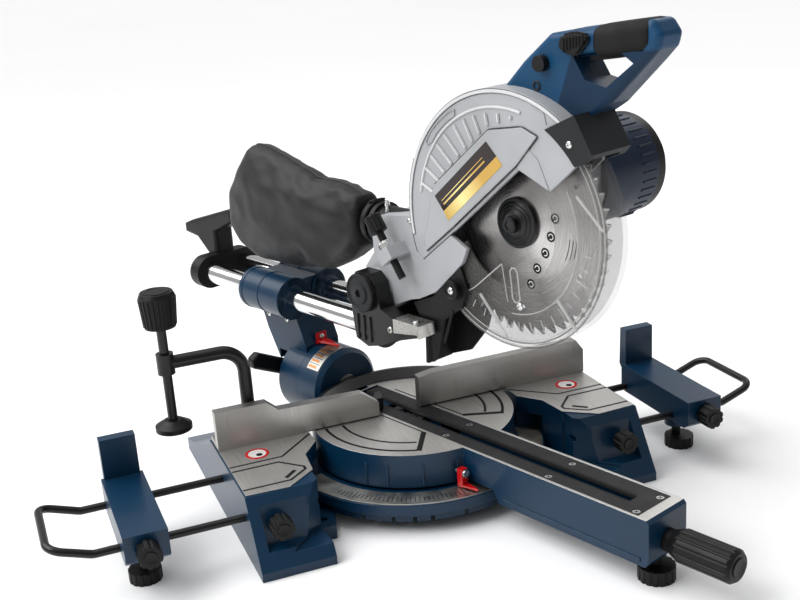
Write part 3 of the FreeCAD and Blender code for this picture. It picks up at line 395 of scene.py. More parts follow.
class Shape:
    """Mesh piece drawn in millimetres, which then rides on a body."""

    def __init__(self, name, body, slot, *looks, swung=True):
        self.name, self.body, self.slot, self.looks = name, body, slot, looks
        self.place = HEAD if swung else BASE
        self.bm = bmesh.new()
        self.paint = 0          # which of its looks the next faces get

    def face(self, verts):
        made = self.bm.faces.new(verts)
        made.material_index = self.paint
        return made

    def round_edges(self, edges, size):
        bmesh.ops.bevel(self.bm, geom=edges, offset=size, segments=2, affect="EDGES", clamp_overlap=True,
                        material=self.paint)

    def box_faces(self, bottom, top):
        """Faces of a closed solid between two loops of points."""
        count = len(bottom)
        faces = [self.face(bottom[::-1]), self.face(top)]
        faces += [self.face((bottom[i], bottom[(i + 1) % count], top[(i + 1) % count], top[i]))
                  for i in range(count)]
        bmesh.ops.recalc_face_normals(self.bm, faces=faces)
        return faces

    def prism(self, outline, plane, low, high, round_off=0.0):
        """Closed outline pushed along the plane's normal, with its edges rounded if asked."""
        bottom, top = ([self.bm.verts.new(on_plane(plane, a, b, depth)) for a, b in outline]
                       for depth in (low, high))
        faces = self.box_faces(bottom, top)
        if round_off:
            self.round_edges(list({edge for face in faces for edge in face.edges}), round_off)
        return self

    def ribbon(self, path, width, plane, low, high, closed=False, round_off=0.0):
        """Flat band of even width along a path, mitred at its corners."""
        points = [Vector(p) for p in path]
        sides = ([], [])
        for i, point in enumerate(points):
            before = points[i - 1] if i or closed else None
            after = points[(i + 1) % len(points)] if i + 1 < len(points) or closed else None
            runs = [(b - a).normalized() for a, b in ((before, point), (point, after))
                    if a is not None and b is not None]
            normals = [Vector((-r.y, r.x)) for r in runs]
            mitre = sum(normals, Vector((0, 0))).normalized()
            reach = width / 2 / max(0.4, mitre.dot(normals[0]))
            for side, sign in zip(sides, (1, -1)):
                side.append(point + mitre * reach * sign)
        spans = len(points) if closed else len(points) - 1
        rows = [[self.bm.verts.new(on_plane(plane, p.x, p.y, depth)) for p in side]
                for side in sides for depth in (low, high)]
        a_low, a_high, b_low, b_high = rows
        faces = []
        for i in range(spans):
            j = (i + 1) % len(points)
            for one, two in ((a_high, b_high), (b_high, b_low), (b_low, a_low), (a_low, a_high)):
                faces.append(self.face((one[i], one[j], two[j], two[i])))
        if not closed:
            for i in (0, -1):
                faces.append(self.face((a_low[i], a_high[i], b_high[i], b_low[i])))
        bmesh.ops.recalc_face_normals(self.bm, faces=faces)
        if round_off:
            touched = {edge for face in faces for edge in face.edges}
            sharp = [edge for edge in touched if edge.calc_face_angle(0) > 0.6]
            self.round_edges(sharp, round_off)
        return self

    def turned(self, profile, axis, centre, steps=32):
        """Profile of (radius, distance along the axis) turned round the axis; "hex" makes a ring a hexagon."""
        along = Vector({"x": (1, 0, 0), "y": (0, 1, 0), "z": (0, 0, 1)}[axis] if isinstance(axis, str) else axis)
        along.normalize()
        across = (Vector((0, 0, 1)) if abs(along.z) < 0.9 else Vector((1, 0, 0))).cross(along).normalized()
        third = along.cross(across)
        rings, faces = [], []
        for radius, depth, *form in profile:
            middle = Vector(centre) + along * depth
            if radius == 0:
                rings.append([self.bm.verts.new(middle)])
                continue
            ring = []
            for k in range(steps):
                turn = tau * k / steps
                r = radius
                if form:
                    r *= cos(pi / 6) / cos((turn % (pi / 3)) - pi / 6)
                ring.append(self.bm.verts.new(middle + (across * cos(turn) + third * sin(turn)) * r))
            rings.append(ring)
        for one, two in zip(rings, rings[1:]):
            for k in range(steps):
                nxt = (k + 1) % steps
                corners = [one[k % len(one)], one[nxt % len(one)], two[nxt % len(two)], two[k % len(two)]]
                corners = list(dict.fromkeys(corners))
                if len(corners) > 2:
                    faces.append(self.face(corners))
        for ring, flip in ((rings[0], True), (rings[-1], False)):
            if len(ring) > 1 and rings[0] is not rings[-1]:
                faces.append(self.face(ring[::-1] if flip else ring))
        bmesh.ops.recalc_face_normals(self.bm, faces=faces)
        return self

    def screw(self, axis, centre, radius=3.5, high=2.0):
        """Button head with a hexagon socket."""
        return self.turned([(radius, 0), (radius, high * 0.4), (radius * 0.86, high * 0.8), (radius * 0.62, high),
                            (radius * 0.5, high, "hex"), (radius * 0.5, high * 0.25, "hex"), (0, high * 0.25)],
                           axis, centre, 36)

    def tube(self, path, radius, sides=10):
        """Round bar along 3-D points."""
        points = [Vector(p) for p in path]
        rings = []
        side = None
        for i, point in enumerate(points):
            run = (points[min(i + 1, len(points) - 1)] - points[max(i - 1, 0)]).normalized()
            side = (Vector((0.3, 0.2, 1)) if side is None else side).cross(run).normalized().cross(run) * -1
            other = run.cross(side).normalized()
            rings.append([self.bm.verts.new(point + (side.normalized() * cos(t) + other * sin(t)) * radius)
                          for t in (tau * k / sides for k in range(sides))])
        faces = [self.face((a[k], a[(k + 1) % sides], b[(k + 1) % sides], b[k]))
                 for a, b in zip(rings, rings[1:]) for k in range(sides)]
        faces += [self.face(rings[0][::-1]), self.face(rings[-1])]
        bmesh.ops.recalc_face_normals(self.bm, faces=faces)
        return self

    def finish(self, sharp=35):
        for face in self.bm.faces:
            face.smooth = True
        for edge in self.bm.edges:
            edge.smooth = edge.calc_face_angle(pi) < radians(sharp)
        self.bm.transform(self.place)
        mesh = bpy.data.meshes.new(self.name)
        self.bm.to_mesh(mesh)
        self.bm.free()
        for look in self.looks:
            mesh.materials.append(look.material)
        made = add(bpy.data.objects.new(self.name, mesh))
        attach(made, self.body)
        return made


def arc(radius, start, stop, steps, centre=(HUB_Y, HUB_Z)):
    return [(centre[0] + radius * cos(radians(start + (stop - start) * k / steps)),
             centre[1] + radius * sin(radians(start + (stop - start) * k / steps))) for k in range(steps + 1)]


def on_spoke(turn, corners, centre=(0, 0)):
    """Points given as (distance out, distance along the rim), on a spoke at an angle in radians."""
    out = Vector((cos(turn), sin(turn)))
    rim = Vector((-out.y, out.x))
    return [tuple(Vector(centre) + out * r + rim * w) for r, w in corners]


def mirrored(path, side):
    return [(side * x, y) for x, y in path]


# ---------------------------------------------------------------- tables and scales
def table_marks():
    marks = Shape("table_grooves", "base", "black_plastic", groove, swung=False)
    discs = Shape("table_discs", "base", "red_plastic", white, red, ink, swung=False)
    low, high = TOP - 0.2, TOP + 0.12
    for side in (1, -1):
        marks.ribbon(mirrored([(-215.5, -38.3), (-160, -38.3), (-118.6, 0.5)], side), 2.5, "xy", low, high)
        marks.ribbon(mirrored([(-215.5, -49.2), (-167, -49.2), (-147, -71), (-147, -77), (-167, -93.5),
                               (-215.5, -93.5)], side), 2.7, "xy", low, high)
        marks.ribbon(mirrored([(-157.5, -75), (-170, -87)], side), 4.2, "xy", low, high)
        middle = Vector((side * 181.5, -19.5, TOP))
        for paint, profile, shift, steps in ((0, [(11.6, 0), (11.6, 0.25), (0, 0.25)], (0, 0, 0), 40),
                                             (1, [(12.4, 0.02), (12.4, 0.4), (9.4, 0.4), (9.4, 0.1)],
                                              (0, 0, 0), 40),
                                             (2, [(3.4, 0.2), (3.4, 0.38), (0, 0.38)], (1.5, -3.5, 0), 20)):
            discs.paint = paint
            discs.turned(profile, "z", middle + Vector(shift), steps)
    marks.finish()
    discs.finish()
    disc = Shape("turntable_grooves", "turntable", "black_plastic", groove)
    for side in (1, -1):
        for radius, width in ((80, 2.8), (99, 3.2)):
            disc.ribbon(mirrored(arc(radius, 158, 231, 26, (0, 0)), side), width, "xy", low, high)
        disc.ribbon(mirrored([(-29.0, -50.0), (-62.5, -79.0)], side), 5.6, "xy", low, high)
        disc.ribbon(mirrored([(-29.2, 62), (-29.2, -52)], side), 1.7, "xy", low, high)
    disc.finish()
    ticks = Shape("mitre_ticks", "base", "black_plastic", ink, swung=False)
    for degree in range(-58, 59, 2):
        inner = 127 if degree % 10 else 123
        ends = on_spoke(radians(-90 + degree), ((inner, 0), (136, 0)))
        ticks.ribbon(ends, 0.7, "xy", 33.9, 34.15)
    ticks.finish()
    bevel = Shape("bevel_ticks", "turntable", "black_plastic", copper, ink)
    for number in range(0, 11):
        bevel.paint = number % 2
        half, start = ((1.6, 124), (0.4, 120.5))[number % 2]
        low, high = 46.05, 46.4
        corners = on_spoke(radians(91 + number * 4.7), ((low, -half), (low, half), (high, half), (high, -half)),
                           (0, TOP))
        bevel.prism(corners, "xz", start, 137.5)
    bevel.finish()


def fence_details():
    gusset = Shape("fence_gusset", "base", "machined_aluminium", fence_metal, swung=False)
    gusset.prism([(-35.5, 17), (-35.5, 27), (-29, 37), (-23, 40), (-26, 19)], "xy", TOP + 0.5, TOP + 15, 0.6)
    gusset.finish()
    black_edge = Shape("fence_feet", "base", "black_paint", groove, swung=False)
    for start, stop in ((-117.5, -36.5), (12.5, 117.5)):
        black_edge.prism([(start, TOP + 0.45), (stop, TOP + 0.45), (stop, TOP + 1.4), (start, TOP + 1.4)], "xz",
                         FENCE_Y - 0.15, FENCE_Y + 0.1)
    black_edge.finish()


def turntable_details():
    rib = Shape("turntable_ribs", "turntable", "navy_paint", navy)
    for degree in (-158, -146, -127, -108):
        corners = on_spoke(radians(degree), ((110.2, -1.6), (112.3, -0.9), (112.3, 0.9), (110.2, 1.6)))
        rib.prism(corners, "xy", 38, 62, 0.4)
    for x in (-28.2, 28.2):
        rib.prism([(-330, 29), (-160, 29), (-160, 33), (-330, 33)], "yz", x - 0.5, x + 0.5, 0.4)
    rib.finish()
    drive = Shape("kerf_screw_sockets", "turntable", "black_plastic", ink)
    for y in (-318, -214, -72):
        for x in (-18, 17):
            for turn in (0.6, 0.6 + pi / 2):
                drive.ribbon(on_spoke(turn, ((-2.4, 0), (2.4, 0)), (x, y)), 0.8, "xy", TOP - 1.0, TOP - 0.72)
    drive.finish()
    lip = Shape("kerf_lips", "turntable", "black_plastic", groove)
    for x in (-8.6, 6.6):
        lip.ribbon([(x, -300), (x, 84)], 1.0, "xy", TOP - 0.5, TOP - 0.22)
    lip.finish()


# ---------------------------------------------------------------- guards and head
def guard_details():
    face = GUARD_X
    relief = Shape("guard_relief", "head", "cast_silver", silver_lit, silver)
    outer_ends = [(15, 110), (24, 109.5), (32, 108), (40, 107.5), (48, 107), (57, 106.5), (65, 106),
                  (72.5, 105.5), (81, 105), (89.5, 105), (98, 105)]
    inner_ends = [(13, 93), (22, 88), (30, 84), (39.5, 81), (49, 80), (58, 81), (66, 83), (74, 87.5), (81.5, 93),
                  (90, 96), (98.5, 101)]
    # the raised ribs take the lighter silver, a painted highlight
    for pair in zip(outer_ends, inner_ends):
        ends = [arc(radius, degree, degree, 1)[0] for degree, radius in pair]
        relief.ribbon(ends, 3.4, "yz", face - 1.9, face + 0.5, round_off=0.9)
    relief.ribbon(arc(110.2, 10, 104, 48), 3.0, "yz", face - 1.2, face + 0.5, round_off=0.6)
    relief.ribbon(arc(124.4, -12, 128, 72), 4.6, "yz", face - 1.2, face + 0.5, round_off=0.9)
    relief.paint = 1
    relief.ribbon([(-76, 384), (-82, 393), (-94, 404), (-110, 415), (-117, 417), (-117, 412), (-104, 404),
                   (-92, 394), (-84, 384), (-78, 381)], 1.3, "yz", face - 1.0, face + 0.5, closed=True,
                   round_off=0.3)
    relief.ribbon([(-212, 427.5), (-226, 422.5)], 1.3, "yz", face - 0.8, face + 0.4, round_off=0.25)
    relief.ribbon([(-222.5, 428.5), (-226.5, 422), (-229, 413)], 1.3, "yz", face - 0.8, face + 0.4,
                  round_off=0.25)
    relief.prism([(-66, 285), (-84, 343), (-160, 403.5), (-201, 409.5), (-221, 402), (-199, 378), (-194, 372.5),
                  (-109, 303.4), (-68, 272)], "yz", face - 2.2, face + 0.5, 1.6)
    tongue = [(-195, 369.6), (-231.5, 354.2), (-219, 381), (-206, 391), (-190, 375)]
    relief.prism(tongue, "yz", face - 0.6, face + 1.4, 0.4)
    relief.finish()
    seam = Shape("guard_seam", "head", "black_plastic", groove)
    seam.ribbon(arc(127.2, -20, 24, 20), 0.9, "yz", face - 0.1, face + 0.3)
    seam.ribbon([(-62, 263.6), (-109, 299.6)], 0.8, "yz", face - 0.1, face + 0.3)
    seam.finish()
    label = Shape("guard_label", "head", "red_plastic", brown, gold)
    label.prism([(-86, 332), (-158, 392), (-170.5, 379.5), (-97.5, 318.5)], "yz", face - 2.5, face - 2.0)
    label.paint = 1
    label.prism([(-97.5, 318.5), (-170.5, 379.5), (-177.5, 372), (-103.5, 310)], "yz", face - 2.5, face - 2.0)
    for inset, width in ((4.5, 1.6), (8.5, 0.8)):
        shift = Vector((0.62, 0.78)) * inset
        line = [tuple(Vector(end) + shift) for end in ((-101, 322), (-158, 370))]
        label.ribbon(line, width, "yz", face - 2.6, face - 2.45)
    label.finish()


def clear_guard_details():
    ribs = Shape("clear_guard_ribs", "lower_guard", "clear_plastic", rib_glint, rim)

    def rib(path, width, high, round_off, closed=False):
        ribs.ribbon(path, width, "yz", COVER_X - high, COVER_X + 0.3, closed, round_off)

    # ribs and lines in the whitish plastic carry a painted highlight
    for start, stop, width in (((-135, 241), (-169, 204), 3.4), ((-233, 254), (-255, 229), 3.4),
                               ((-257, 353), (-286, 326), 3.0)):
        rib([start, stop], width, 1.2, 0.45)
    for degree in [*range(188, 232, 8), *range(236, 316, 9)]:
        half = 4.5 if degree % 3 else 6.5
        rib([arc(radius, degree, degree, 1)[0] for radius in (96 - half, 96 + half)], 1.1, 0.9, 0.45)
    rib(arc(84, 150, 268, 50), 1.0, 0.5, 0.2)
    for radius in (109.5, 114.6):
        rib(arc(radius, 128, 331, 90), 1.0, 0.7, 0.25)
    ribs.paint = 1
    for radius in (112, 116.4):
        rib(arc(radius, 128, 331, 90), 1.6, 0.3, 0)
    ribs.paint = 0
    slot = [(-184.5, 271), (-187, 245), (-184, 241.5), (-180, 241.5), (-177.5, 245), (-175.5, 271), (-178, 274.5),
            (-182, 274.5)]
    rib(slot, 1.3, 0.8, 0.25, closed=True)
    rib([(-165, 276), (-128, 246), (-94, 226)], 1.2, 0.6, 0.25)
    rib([(-165, 276), (-171, 240)], 1.0, 0.5, 0.2)
    ribs.finish()
    screws = Shape("clear_guard_screws", "lower_guard", "steel", bright)
    screws.screw(LEFT, (COVER_X, -186, 238), 3.6, 1.2)
    screws.finish()


def blade_disc():
    """Plate with hooked teeth, gullets, carbide tips and relief slots."""
    count, tip, root = 48, 107.6, 99.5
    pitch = tau / count
    tooth = [(0.0, tip), (0.16, tip - 0.5), (0.62, root + 2.4), (0.80, root), (0.93, root + 0.8),
             (0.985, tip - 3.4)]
    gullet = [share for share, radius in tooth].index(0.80)
    relief_slot = [(root - 0.6, -0.45), (84, -0.45), *arc(2.6, -20, -340, 8, (82, 0)), (84, 0.45),
                   (root - 0.6, 0.45)]
    outline = []
    for k in range(count):
        points = [on_spoke((k + share) * pitch, ((radius, 0),))[0] for share, radius in tooth]
        if k % 8 == 3:
            points[gullet:gullet + 1] = on_spoke((k + 0.8) * pitch, relief_slot)
        outline += points
    curve = bpy.data.curves.new("blade_outline", "CURVE")
    curve.dimensions, curve.fill_mode, curve.extrude = "2D", "BOTH", 0.9
    for points in (outline, arc(11, 0, 352, 44, (0, 0))):
        spline = curve.splines.new("POLY")
        spline.points.add(len(points) - 1)
        for spot, (a, b) in zip(spline.points, points):
            spot.co = (a, b, 0, 1)
        spline.use_cyclic_u = True
    sketch = add(bpy.data.objects.new("blade_sketch", curve))
    mesh = bpy.data.meshes.new_from_object(sketch)
    bpy.data.objects.remove(sketch)
    stand = Matrix(((0, 0, 1, BLADE_X), (1, 0, 0, HUB_Y), (0, 1, 0, HUB_Z), (0, 0, 0, 1)))
    blade = Shape("toothed_blade", "blade", "blade_steel", blade_metal, bright, ink, white)
    blade.bm.from_mesh(mesh)
    bpy.data.meshes.remove(mesh)
    blade.bm.transform(stand)
    blade.paint = 1
    carbide = [(tip + 0.3, -0.1), (tip - 0.1, 2.0), (tip - 5.2, 0.9), (tip - 5.2, -0.4)]
    for k in range(count):
        blade.prism(on_spoke(pitch * k, carbide, (HUB_Y, HUB_Z)), "yz", BLADE_X - 1.2, BLADE_X + 1.2)
    face = BLADE_X - 0.9
    for degree, radius in ((167, 46), (191, 40), (217, 40), (242, 46), (257, 59)):
        spot = arc(radius, degree, degree, 1)[0]
        blade.paint = 2
        blade.turned([(5.0, 0), (5.0, -0.12), (0, -0.12)], "x", (face, *spot), 24)
        blade.paint = 3
        blade.ribbon(arc(2.6, 0, 300, 12, spot), 0.9, "yz", face - 0.2, face)
    blade.paint = 2
    for k, radius in enumerate((62, 66, 70)):
        blade.ribbon(arc(radius, 186, 206 - 3 * k, 10), 1.0, "yz", face - 0.1, face)
        blade.ribbon(arc(radius, 112, 126 - 2 * k, 10), 1.0, "yz", face - 0.1, face)
    blade.ribbon(arc(73, 318, 345, 12), 1.3, "yz", face - 0.1, face)
    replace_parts(blade.finish(30), "saw_blade")
    hub = Shape("arbor_rings", "blade", "black_paint", dark_grey)
    flange = (-7.5, HUB_Y, HUB_Z)
    hub.turned([(23.7, -0.3), (23.7, 0.3), (22.9, 0.7), (21.4, 0.7), (21.2, -0.1)], LEFT, flange, 64)
    for radius, depth in ((18.4, 1.25), (15.2, 2.7)):
        hub.turned([(radius + 0.6, depth - 0.6), (radius + 0.6, depth + 0.3), (radius - 0.6, depth + 0.8),
                    (radius - 0.9, depth)], LEFT, flange, 64)
    hub.turned([(7.6, -0.2), (7.6, 0.5), (6.6, 0.9), (4.6, 0.9, "hex"), (4.6, -0.1, "hex"), (0, -0.1)], LEFT,
               (-17.0, HUB_Y, HUB_Z), 48)
    hub.finish()


def head_details():
    screws = Shape("head_screws", "head", "steel", bright)
    for place, radius, high in (((-28, -256.5, 398.6), 3.2, 1.4), (CHUTE_BOSS, 3.6, 1.6),
                                ((-25, -44, 300), 3.0, 1.6), ((-25, 4, 278), 3.0, 1.6)):
        screws.screw(LEFT, place, radius, high)
    screws.finish()
    pin = Shape("head_pin", "head", "chrome", bright, black)
    foot = (-10, 6, 291)
    pin.turned([(3.2, -2), (3.2, 8), (2.4, 11), (2.4, 14), (3.0, 15.5), (2.2, 20), (0, 21)], "z", foot, 24)
    pin.paint = 1
    pin.turned([(7.5, -5), (7.5, 2.5), (6.6, 4), (3.3, 4.2)], "z", foot, 28)
    pin.finish()
    lean = radians(35.8)           # the depth stop screw leans forward
    along = Vector((0, sin(lean), cos(lean)))
    top = Vector((-41, -5.4, 302))
    nut = Shape("depth_nut", "depth_screw", "steel", bright)
    nut.turned([(8.2, 0, "hex"), (8.2, 5.2, "hex"), (5.2, 5.8), (4.1, 5.8), (4.1, 0)], along,
               top - along * 35.3, 36)
    nut.turned([(6.4, 0), (6.4, 1.2), (4.1, 1.2), (4.1, 0)], along, top - along * 29.6, 30)
    nut.finish()
    cap = Shape("depth_knob_cap", "depth_screw", "black_plastic", black)
    cap.turned([(8.0, 0), (7.6, 1.6), (6.2, 2.2), (5.4, 1.6), (0, 1.6)], along, top - along * 0.2, 36)
    cap.finish()
    hub = Shape("chop_hub_ring", "carriage", "black_plastic", dark_grey, bright)
    hub.turned([(20.6, -0.4), (20.6, 0.8), (18.6, 1.6), (17.8, 0.3), (11.6, 0.3), (11.0, 1.8), (7.2, 2.2),
                (4.6, 2.2, "hex"), (4.6, -0.2, "hex"), (0, -0.2)], LEFT, (-51.0, 12, 220), 60)
    hub.finish()
    plate = Shape("stop_plate_screw", "carriage", "steel", bright)
    plate.screw("z", (-41, -63, 201.2), 3.6, 1.8)
    plate.finish()
    cheek = Shape("carriage_ribs", "carriage", "black_paint", black_cast, steel)
    for y in (4, 14, 24):
        cheek.prism([(y - 1.6, 166), (y + 1.6, 166), (y + 1.6, 194), (y - 1.6, 194)], "yz", -47.8, -45.5, 0.7)
    cheek.paint = 1
    cheek.screw(LEFT, (-46, -28, 187), 3.6, 2.0)
    cheek.finish()
    flap = Shape("chute_boss_ring", "head", "black_plastic", black)
    flap.turned([(9.6, -0.3), (9.6, 0.8), (8.2, 1.2), (7.4, 0.3), (4.6, 0.3), (4.4, -0.3)], LEFT, CHUTE_BOSS, 40)
    flap.prism([(-101, 216), (-98, 218), (-84, 180), (-87, 179)], "yz", -25.4, -23.8, 0.4)
    flap.finish()


def handle_details():
    seam = Shape("handle_seam", "head", "black_plastic", groove)
    seam.ribbon([(-165, 440), (-186, 461.5), (-218, 486), (-245, 491)], 0.9, "yz", 8.6, 9.4)
    seam.finish()
    screws = Shape("handle_screws", "head", "steel", black_cast)
    screws.turned([(4.6, -0.6), (4.6, 0.5), (3.6, 0.9), (2.9, 0.9, "hex"), (2.9, -0.4, "hex"), (0, -0.4)],
                  LEFT, (-8, -204, 442), 36)
    screws.finish()
    thumb = Shape("thumb_block", "head", "black_plastic", black)
    thumb.prism([(-234, 473.5), (-250.5, 469), (-255, 471), (-266.5, 484.5), (-264, 488.5), (-251, 490.5),
                 (-237, 487.5), (-232, 479.5)], "yz", -13.5, -7.0, 2.2)
    for k in range(7):
        y = -240 - 3.4 * k
        low, high = 473 + 1.1 * k, 484.5 + 0.5 * k
        thumb.prism([(y - 1.0, low), (y + 1.0, low), (y + 1.0, high), (y - 1.0, high)], "yz", -14.6, -11.5, 0.5)
    thumb.finish()
    grip_sleeve()


def grip_sleeve():
    """Rounded rubber sleeve with a blue collar in front of it, lofted back along the handle's slope."""
    grip = Shape("grip_sleeve", "head", "black_rubber", plain_blue, rubber)
    collar = [(-246, -0.9), (-247, -0.3), (-268, -0.3)]
    sleeve = [(-268.1, -0.9), (-269, 0.3), (-273, 1.4), (-284, 1.8), (-300, 1.8), (-316, 1.5), (-320, 0.8),
              (-322.4, -0.4), (-322.8, -2.2)]
    fullest, highest, squareness, sides = 1.8, 501.3, 3.2, 64
    rings = []
    for y, swell in collar + sleeve:
        climb = 0.131 * (-246 - y)
        top = min(highest, 492.2 + climb) - (fullest - swell) * 0.25
        low = 466.5 + climb - swell * 1.6
        middle, tall, wide = (top + low) / 2, (top - low) / 2, 18.3 + swell
        ring = []
        for k in range(sides):
            across, up = cos(tau * k / sides), sin(tau * k / sides)
            reach = (abs(across) ** squareness + abs(up) ** squareness) ** (-1 / squareness)
            ring.append(grip.bm.verts.new((9 + wide * across * reach, y, middle + tall * up * reach)))
        rings.append(ring)
    grip.face(rings[0][::-1])
    for i, (one, two) in enumerate(zip(rings, rings[1:]), 1):
        grip.paint = int(i > len(collar))
        for k in range(sides):
            grip.face((one[k], one[(k + 1) % sides], two[(k + 1) % sides], two[k]))
    grip.face(rings[-1])
    bmesh.ops.recalc_face_normals(grip.bm, faces=grip.bm.faces)
    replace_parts(grip.finish(50), "handle_grip")


def motor_details():
    fins = Shape("motor_fins", "head", "navy_motor", motor_navy)
    skin, count = 49.6, 36
    for k in range(count):
        corners = on_spoke(tau * k / count, ((skin, -1.4), (50.9, -0.8), (50.9, 0.8), (skin, 1.4)), MOTOR)
        fins.prism(corners, "yz", 112, 132, 0.4)
    fins.finish()
    caps = Shape("brush_caps", "head", "black_plastic", black)
    for degree in (250, 70):
        out = Vector((0, cos(radians(degree)), sin(radians(degree))))
        caps.turned([(8.5, -1.5), (8.5, 1.6), (7.2, 2.4), (0, 2.4)], out, Vector((126, *MOTOR)) + out * skin, 32)
    caps.finish()
    screws = Shape("motor_screws", "head", "steel", steel)
    for degree in (45, 135, 225, 315):
        screws.screw("x", (158, *arc(36, degree, degree, 1, MOTOR)[0]), 3.4, 1.6)
    for y, z in ((-212, 300), (-212, 366), (-138, 366), (-138, 300)):
        screws.screw("x", (58, y, z), 3.2, 1.6)
    screws.finish()


def knob_details():
    for name, place in (("left_base", (-190, -138, 45)), ("right_base", (190, -138, 45)),
                        ("left_support", (-317, -149, 56)), ("right_support", (289, -149, 56)),
                        ("mitre_lock", (0, -412, 44))):
        swung = name == "mitre_lock"
        body, size = (name, 1.05) if swung else (name + "_lock", 0.72)
        cap = Shape(name + "_cap", body, "black_plastic", black, dark_grey, swung=swung)
        cap.turned([(9.0 * size, -0.5), (9.0 * size, 0.6), (8.2 * size, 1.2), (5.4 * size, 0.5), (0, 0.5)],
                   (0, -1, 0), place, 40)
        cap.finish()
    ribs = Shape("clamp_knob_ribs", "clamp_spindle", "black_plastic", black, swung=False)
    count, half = 22, 1.2
    for k in range(count):
        turn = tau * k / count
        out = Vector((cos(turn), sin(turn), 0))
        side = Vector((-out.y, out.x, 0))
        foot, crown = Vector((-255, 27, 214)) + out * 15.8, Vector((-255, 27, 243)) + out * 18.1
        inner = [foot - side * half, foot + side * half, crown + side * half, crown - side * half]
        outer = [p + out * 1.3 + side * (0.5 * half * sign) for p, sign in zip(inner, (1, -1, -1, 1))]
        ribs.box_faces(*([ribs.bm.verts.new(p) for p in loop] for loop in (inner, outer)))
    ribs.turned([(13.5, -0.3), (13.2, 0.7), (10.5, 0.9), (9.8, 0.3), (0, 0.3)], "z", (-255, 27, 249), 40)
    ribs.finish()


def arm_details():
    trim = Shape("bevel_arm_trim", "bevel_arm", "navy_paint", navy)
    for x in (-RAIL_X, RAIL_X):
        for y, wide in ((168, 3), (206, 1.2), (240, 3)):
            profile = [(24.4, -wide), (25.2, 0.5 - wide), (25.2, wide - 0.5), (24.4, wide)]
            trim.turned(profile, "y", (x, y, RAIL_Z), 64)
    trim.finish()
    screws = Shape("bevel_pointer_screw", "bevel_arm", "steel", bright)
    screws.screw((0, -1, 0), (-1.5, 152.2, 126), 3.0, 1.4)
    screws.screw(LEFT, (-24, 186, 146), 3.6, 1.8)
    screws.screw(LEFT, (-24, 222, 146), 3.6, 1.8)
    screws.finish()
    ends = Shape("rail_cap_screws", "carriage", "steel", bright)
    for x in (-RAIL_X, RAIL_X):
        ends.screw("y", (x, 358, RAIL_Z), 5.0, 2.0)
    ends.finish()


# ---------------------------------------------------------------- dust bag
def apply_last(piece):
    bpy.ops.object.modifier_apply(modifier=piece.modifiers[-1].name)


def blow_out(bag):
    """Cloth simulation under pressure, with each point's move capped."""
    rest = [vertex.co.copy() for vertex in bag.data.vertices]
    cloth = bag.modifiers.new("cloth", "CLOTH").settings
    cloth.use_pressure, cloth.uniform_pressure_force = True, 3.0
    cloth.effector_weights.gravity = 0
    cloth.quality = 6
    for step in range(1, 16):
        bpy.context.scene.frame_set(step)
    apply_last(bag)
    bpy.context.scene.frame_set(1)
    farthest = 9 * MM
    for vertex, start in zip(bag.data.vertices, rest):
        move = vertex.co - start
        if move.length > farthest:
            vertex.co = start + move.normalized() * farthest


def crease(bag, middle):
    """Soft folds over both sides, and creases that run into the gathered mouth. Lengths are in metres."""
    low, high = (Vector(pick(vertex.co[i] for vertex in bag.data.vertices) for i in range(3))
                 for pick in (min, max))
    mouth = Vector((-0.002, 0.040, 0.284))
    for vertex in bag.data.vertices:
        p = vertex.co
        side = -1 if p.x < middle.x else 1
        reach = (p - mouth).length
        turn = atan2(p.z - mouth.z, p.y - mouth.y)
        pleat = sin(turn * 9 + 2.2 * noise.noise(p * 16) + side) * 0.0026 * exp(-reach / 0.12)
        ripple = noise.noise(Vector((p.x * 6, p.y * 14 + 3, p.z * 20 + side * 5))) * 0.004
        fold = 1 - abs(noise.noise(Vector((side * 3, p.y * 20 + p.z * 11, p.z * 26 - p.y * 9)))) * 2.2
        fine = max(0, fold) ** 3 * 0.0022 - 0.0005
        edge = min(1, (high.z - p.z) / 0.03, (p.z - low.z) / 0.02, (high.y - p.y) / 0.03)
        p.x += side * (pleat + ripple + fine) * max(0.25, edge)
        p.x += (mouth.x - p.x) * 0.25 * exp(-reach / 0.06)
        p.z += 0.4 * fine


def dust_bag():
    """Nylon bag: the CAD block remeshed, blown out as cloth, then creased towards its gathered mouth."""
    bag = add(bpy.data.objects.new("nylon_bag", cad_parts["dust_bag"].data.copy()))
    bag.data.transform(HEAD.inverted())
    bag.data.transform(BASE)
    middle = sum((vertex.co for vertex in bag.data.vertices), Vector()) / len(bag.data.vertices)
    shrink = Matrix.Diagonal((0.86, 0.975, 0.97, 1))
    bag.data.transform(Matrix.Translation(middle) @ shrink @ Matrix.Translation(-middle))
    bpy.context.view_layer.objects.active = bag
    bag.select_set(True)
    remesh = bag.modifiers.new("remesh", "REMESH")
    remesh.mode, remesh.voxel_size = "VOXEL", 6 * MM
    apply_last(bag)
    blow_out(bag)
    crease(bag, middle)
    smooth = bag.modifiers.new("smooth", "SUBSURF")
    smooth.levels = smooth.render_levels = 1
    apply_last(bag)
    for polygon in bag.data.polygons:
        polygon.use_smooth = True
    bag.data.transform(Matrix.Rotation(MITRE, 4, "Z"))
    bag.data.materials.clear()
    bag.data.materials.append(nylon.material)
    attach(bag, "head")
    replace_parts(bag, "dust_bag")
    return bag


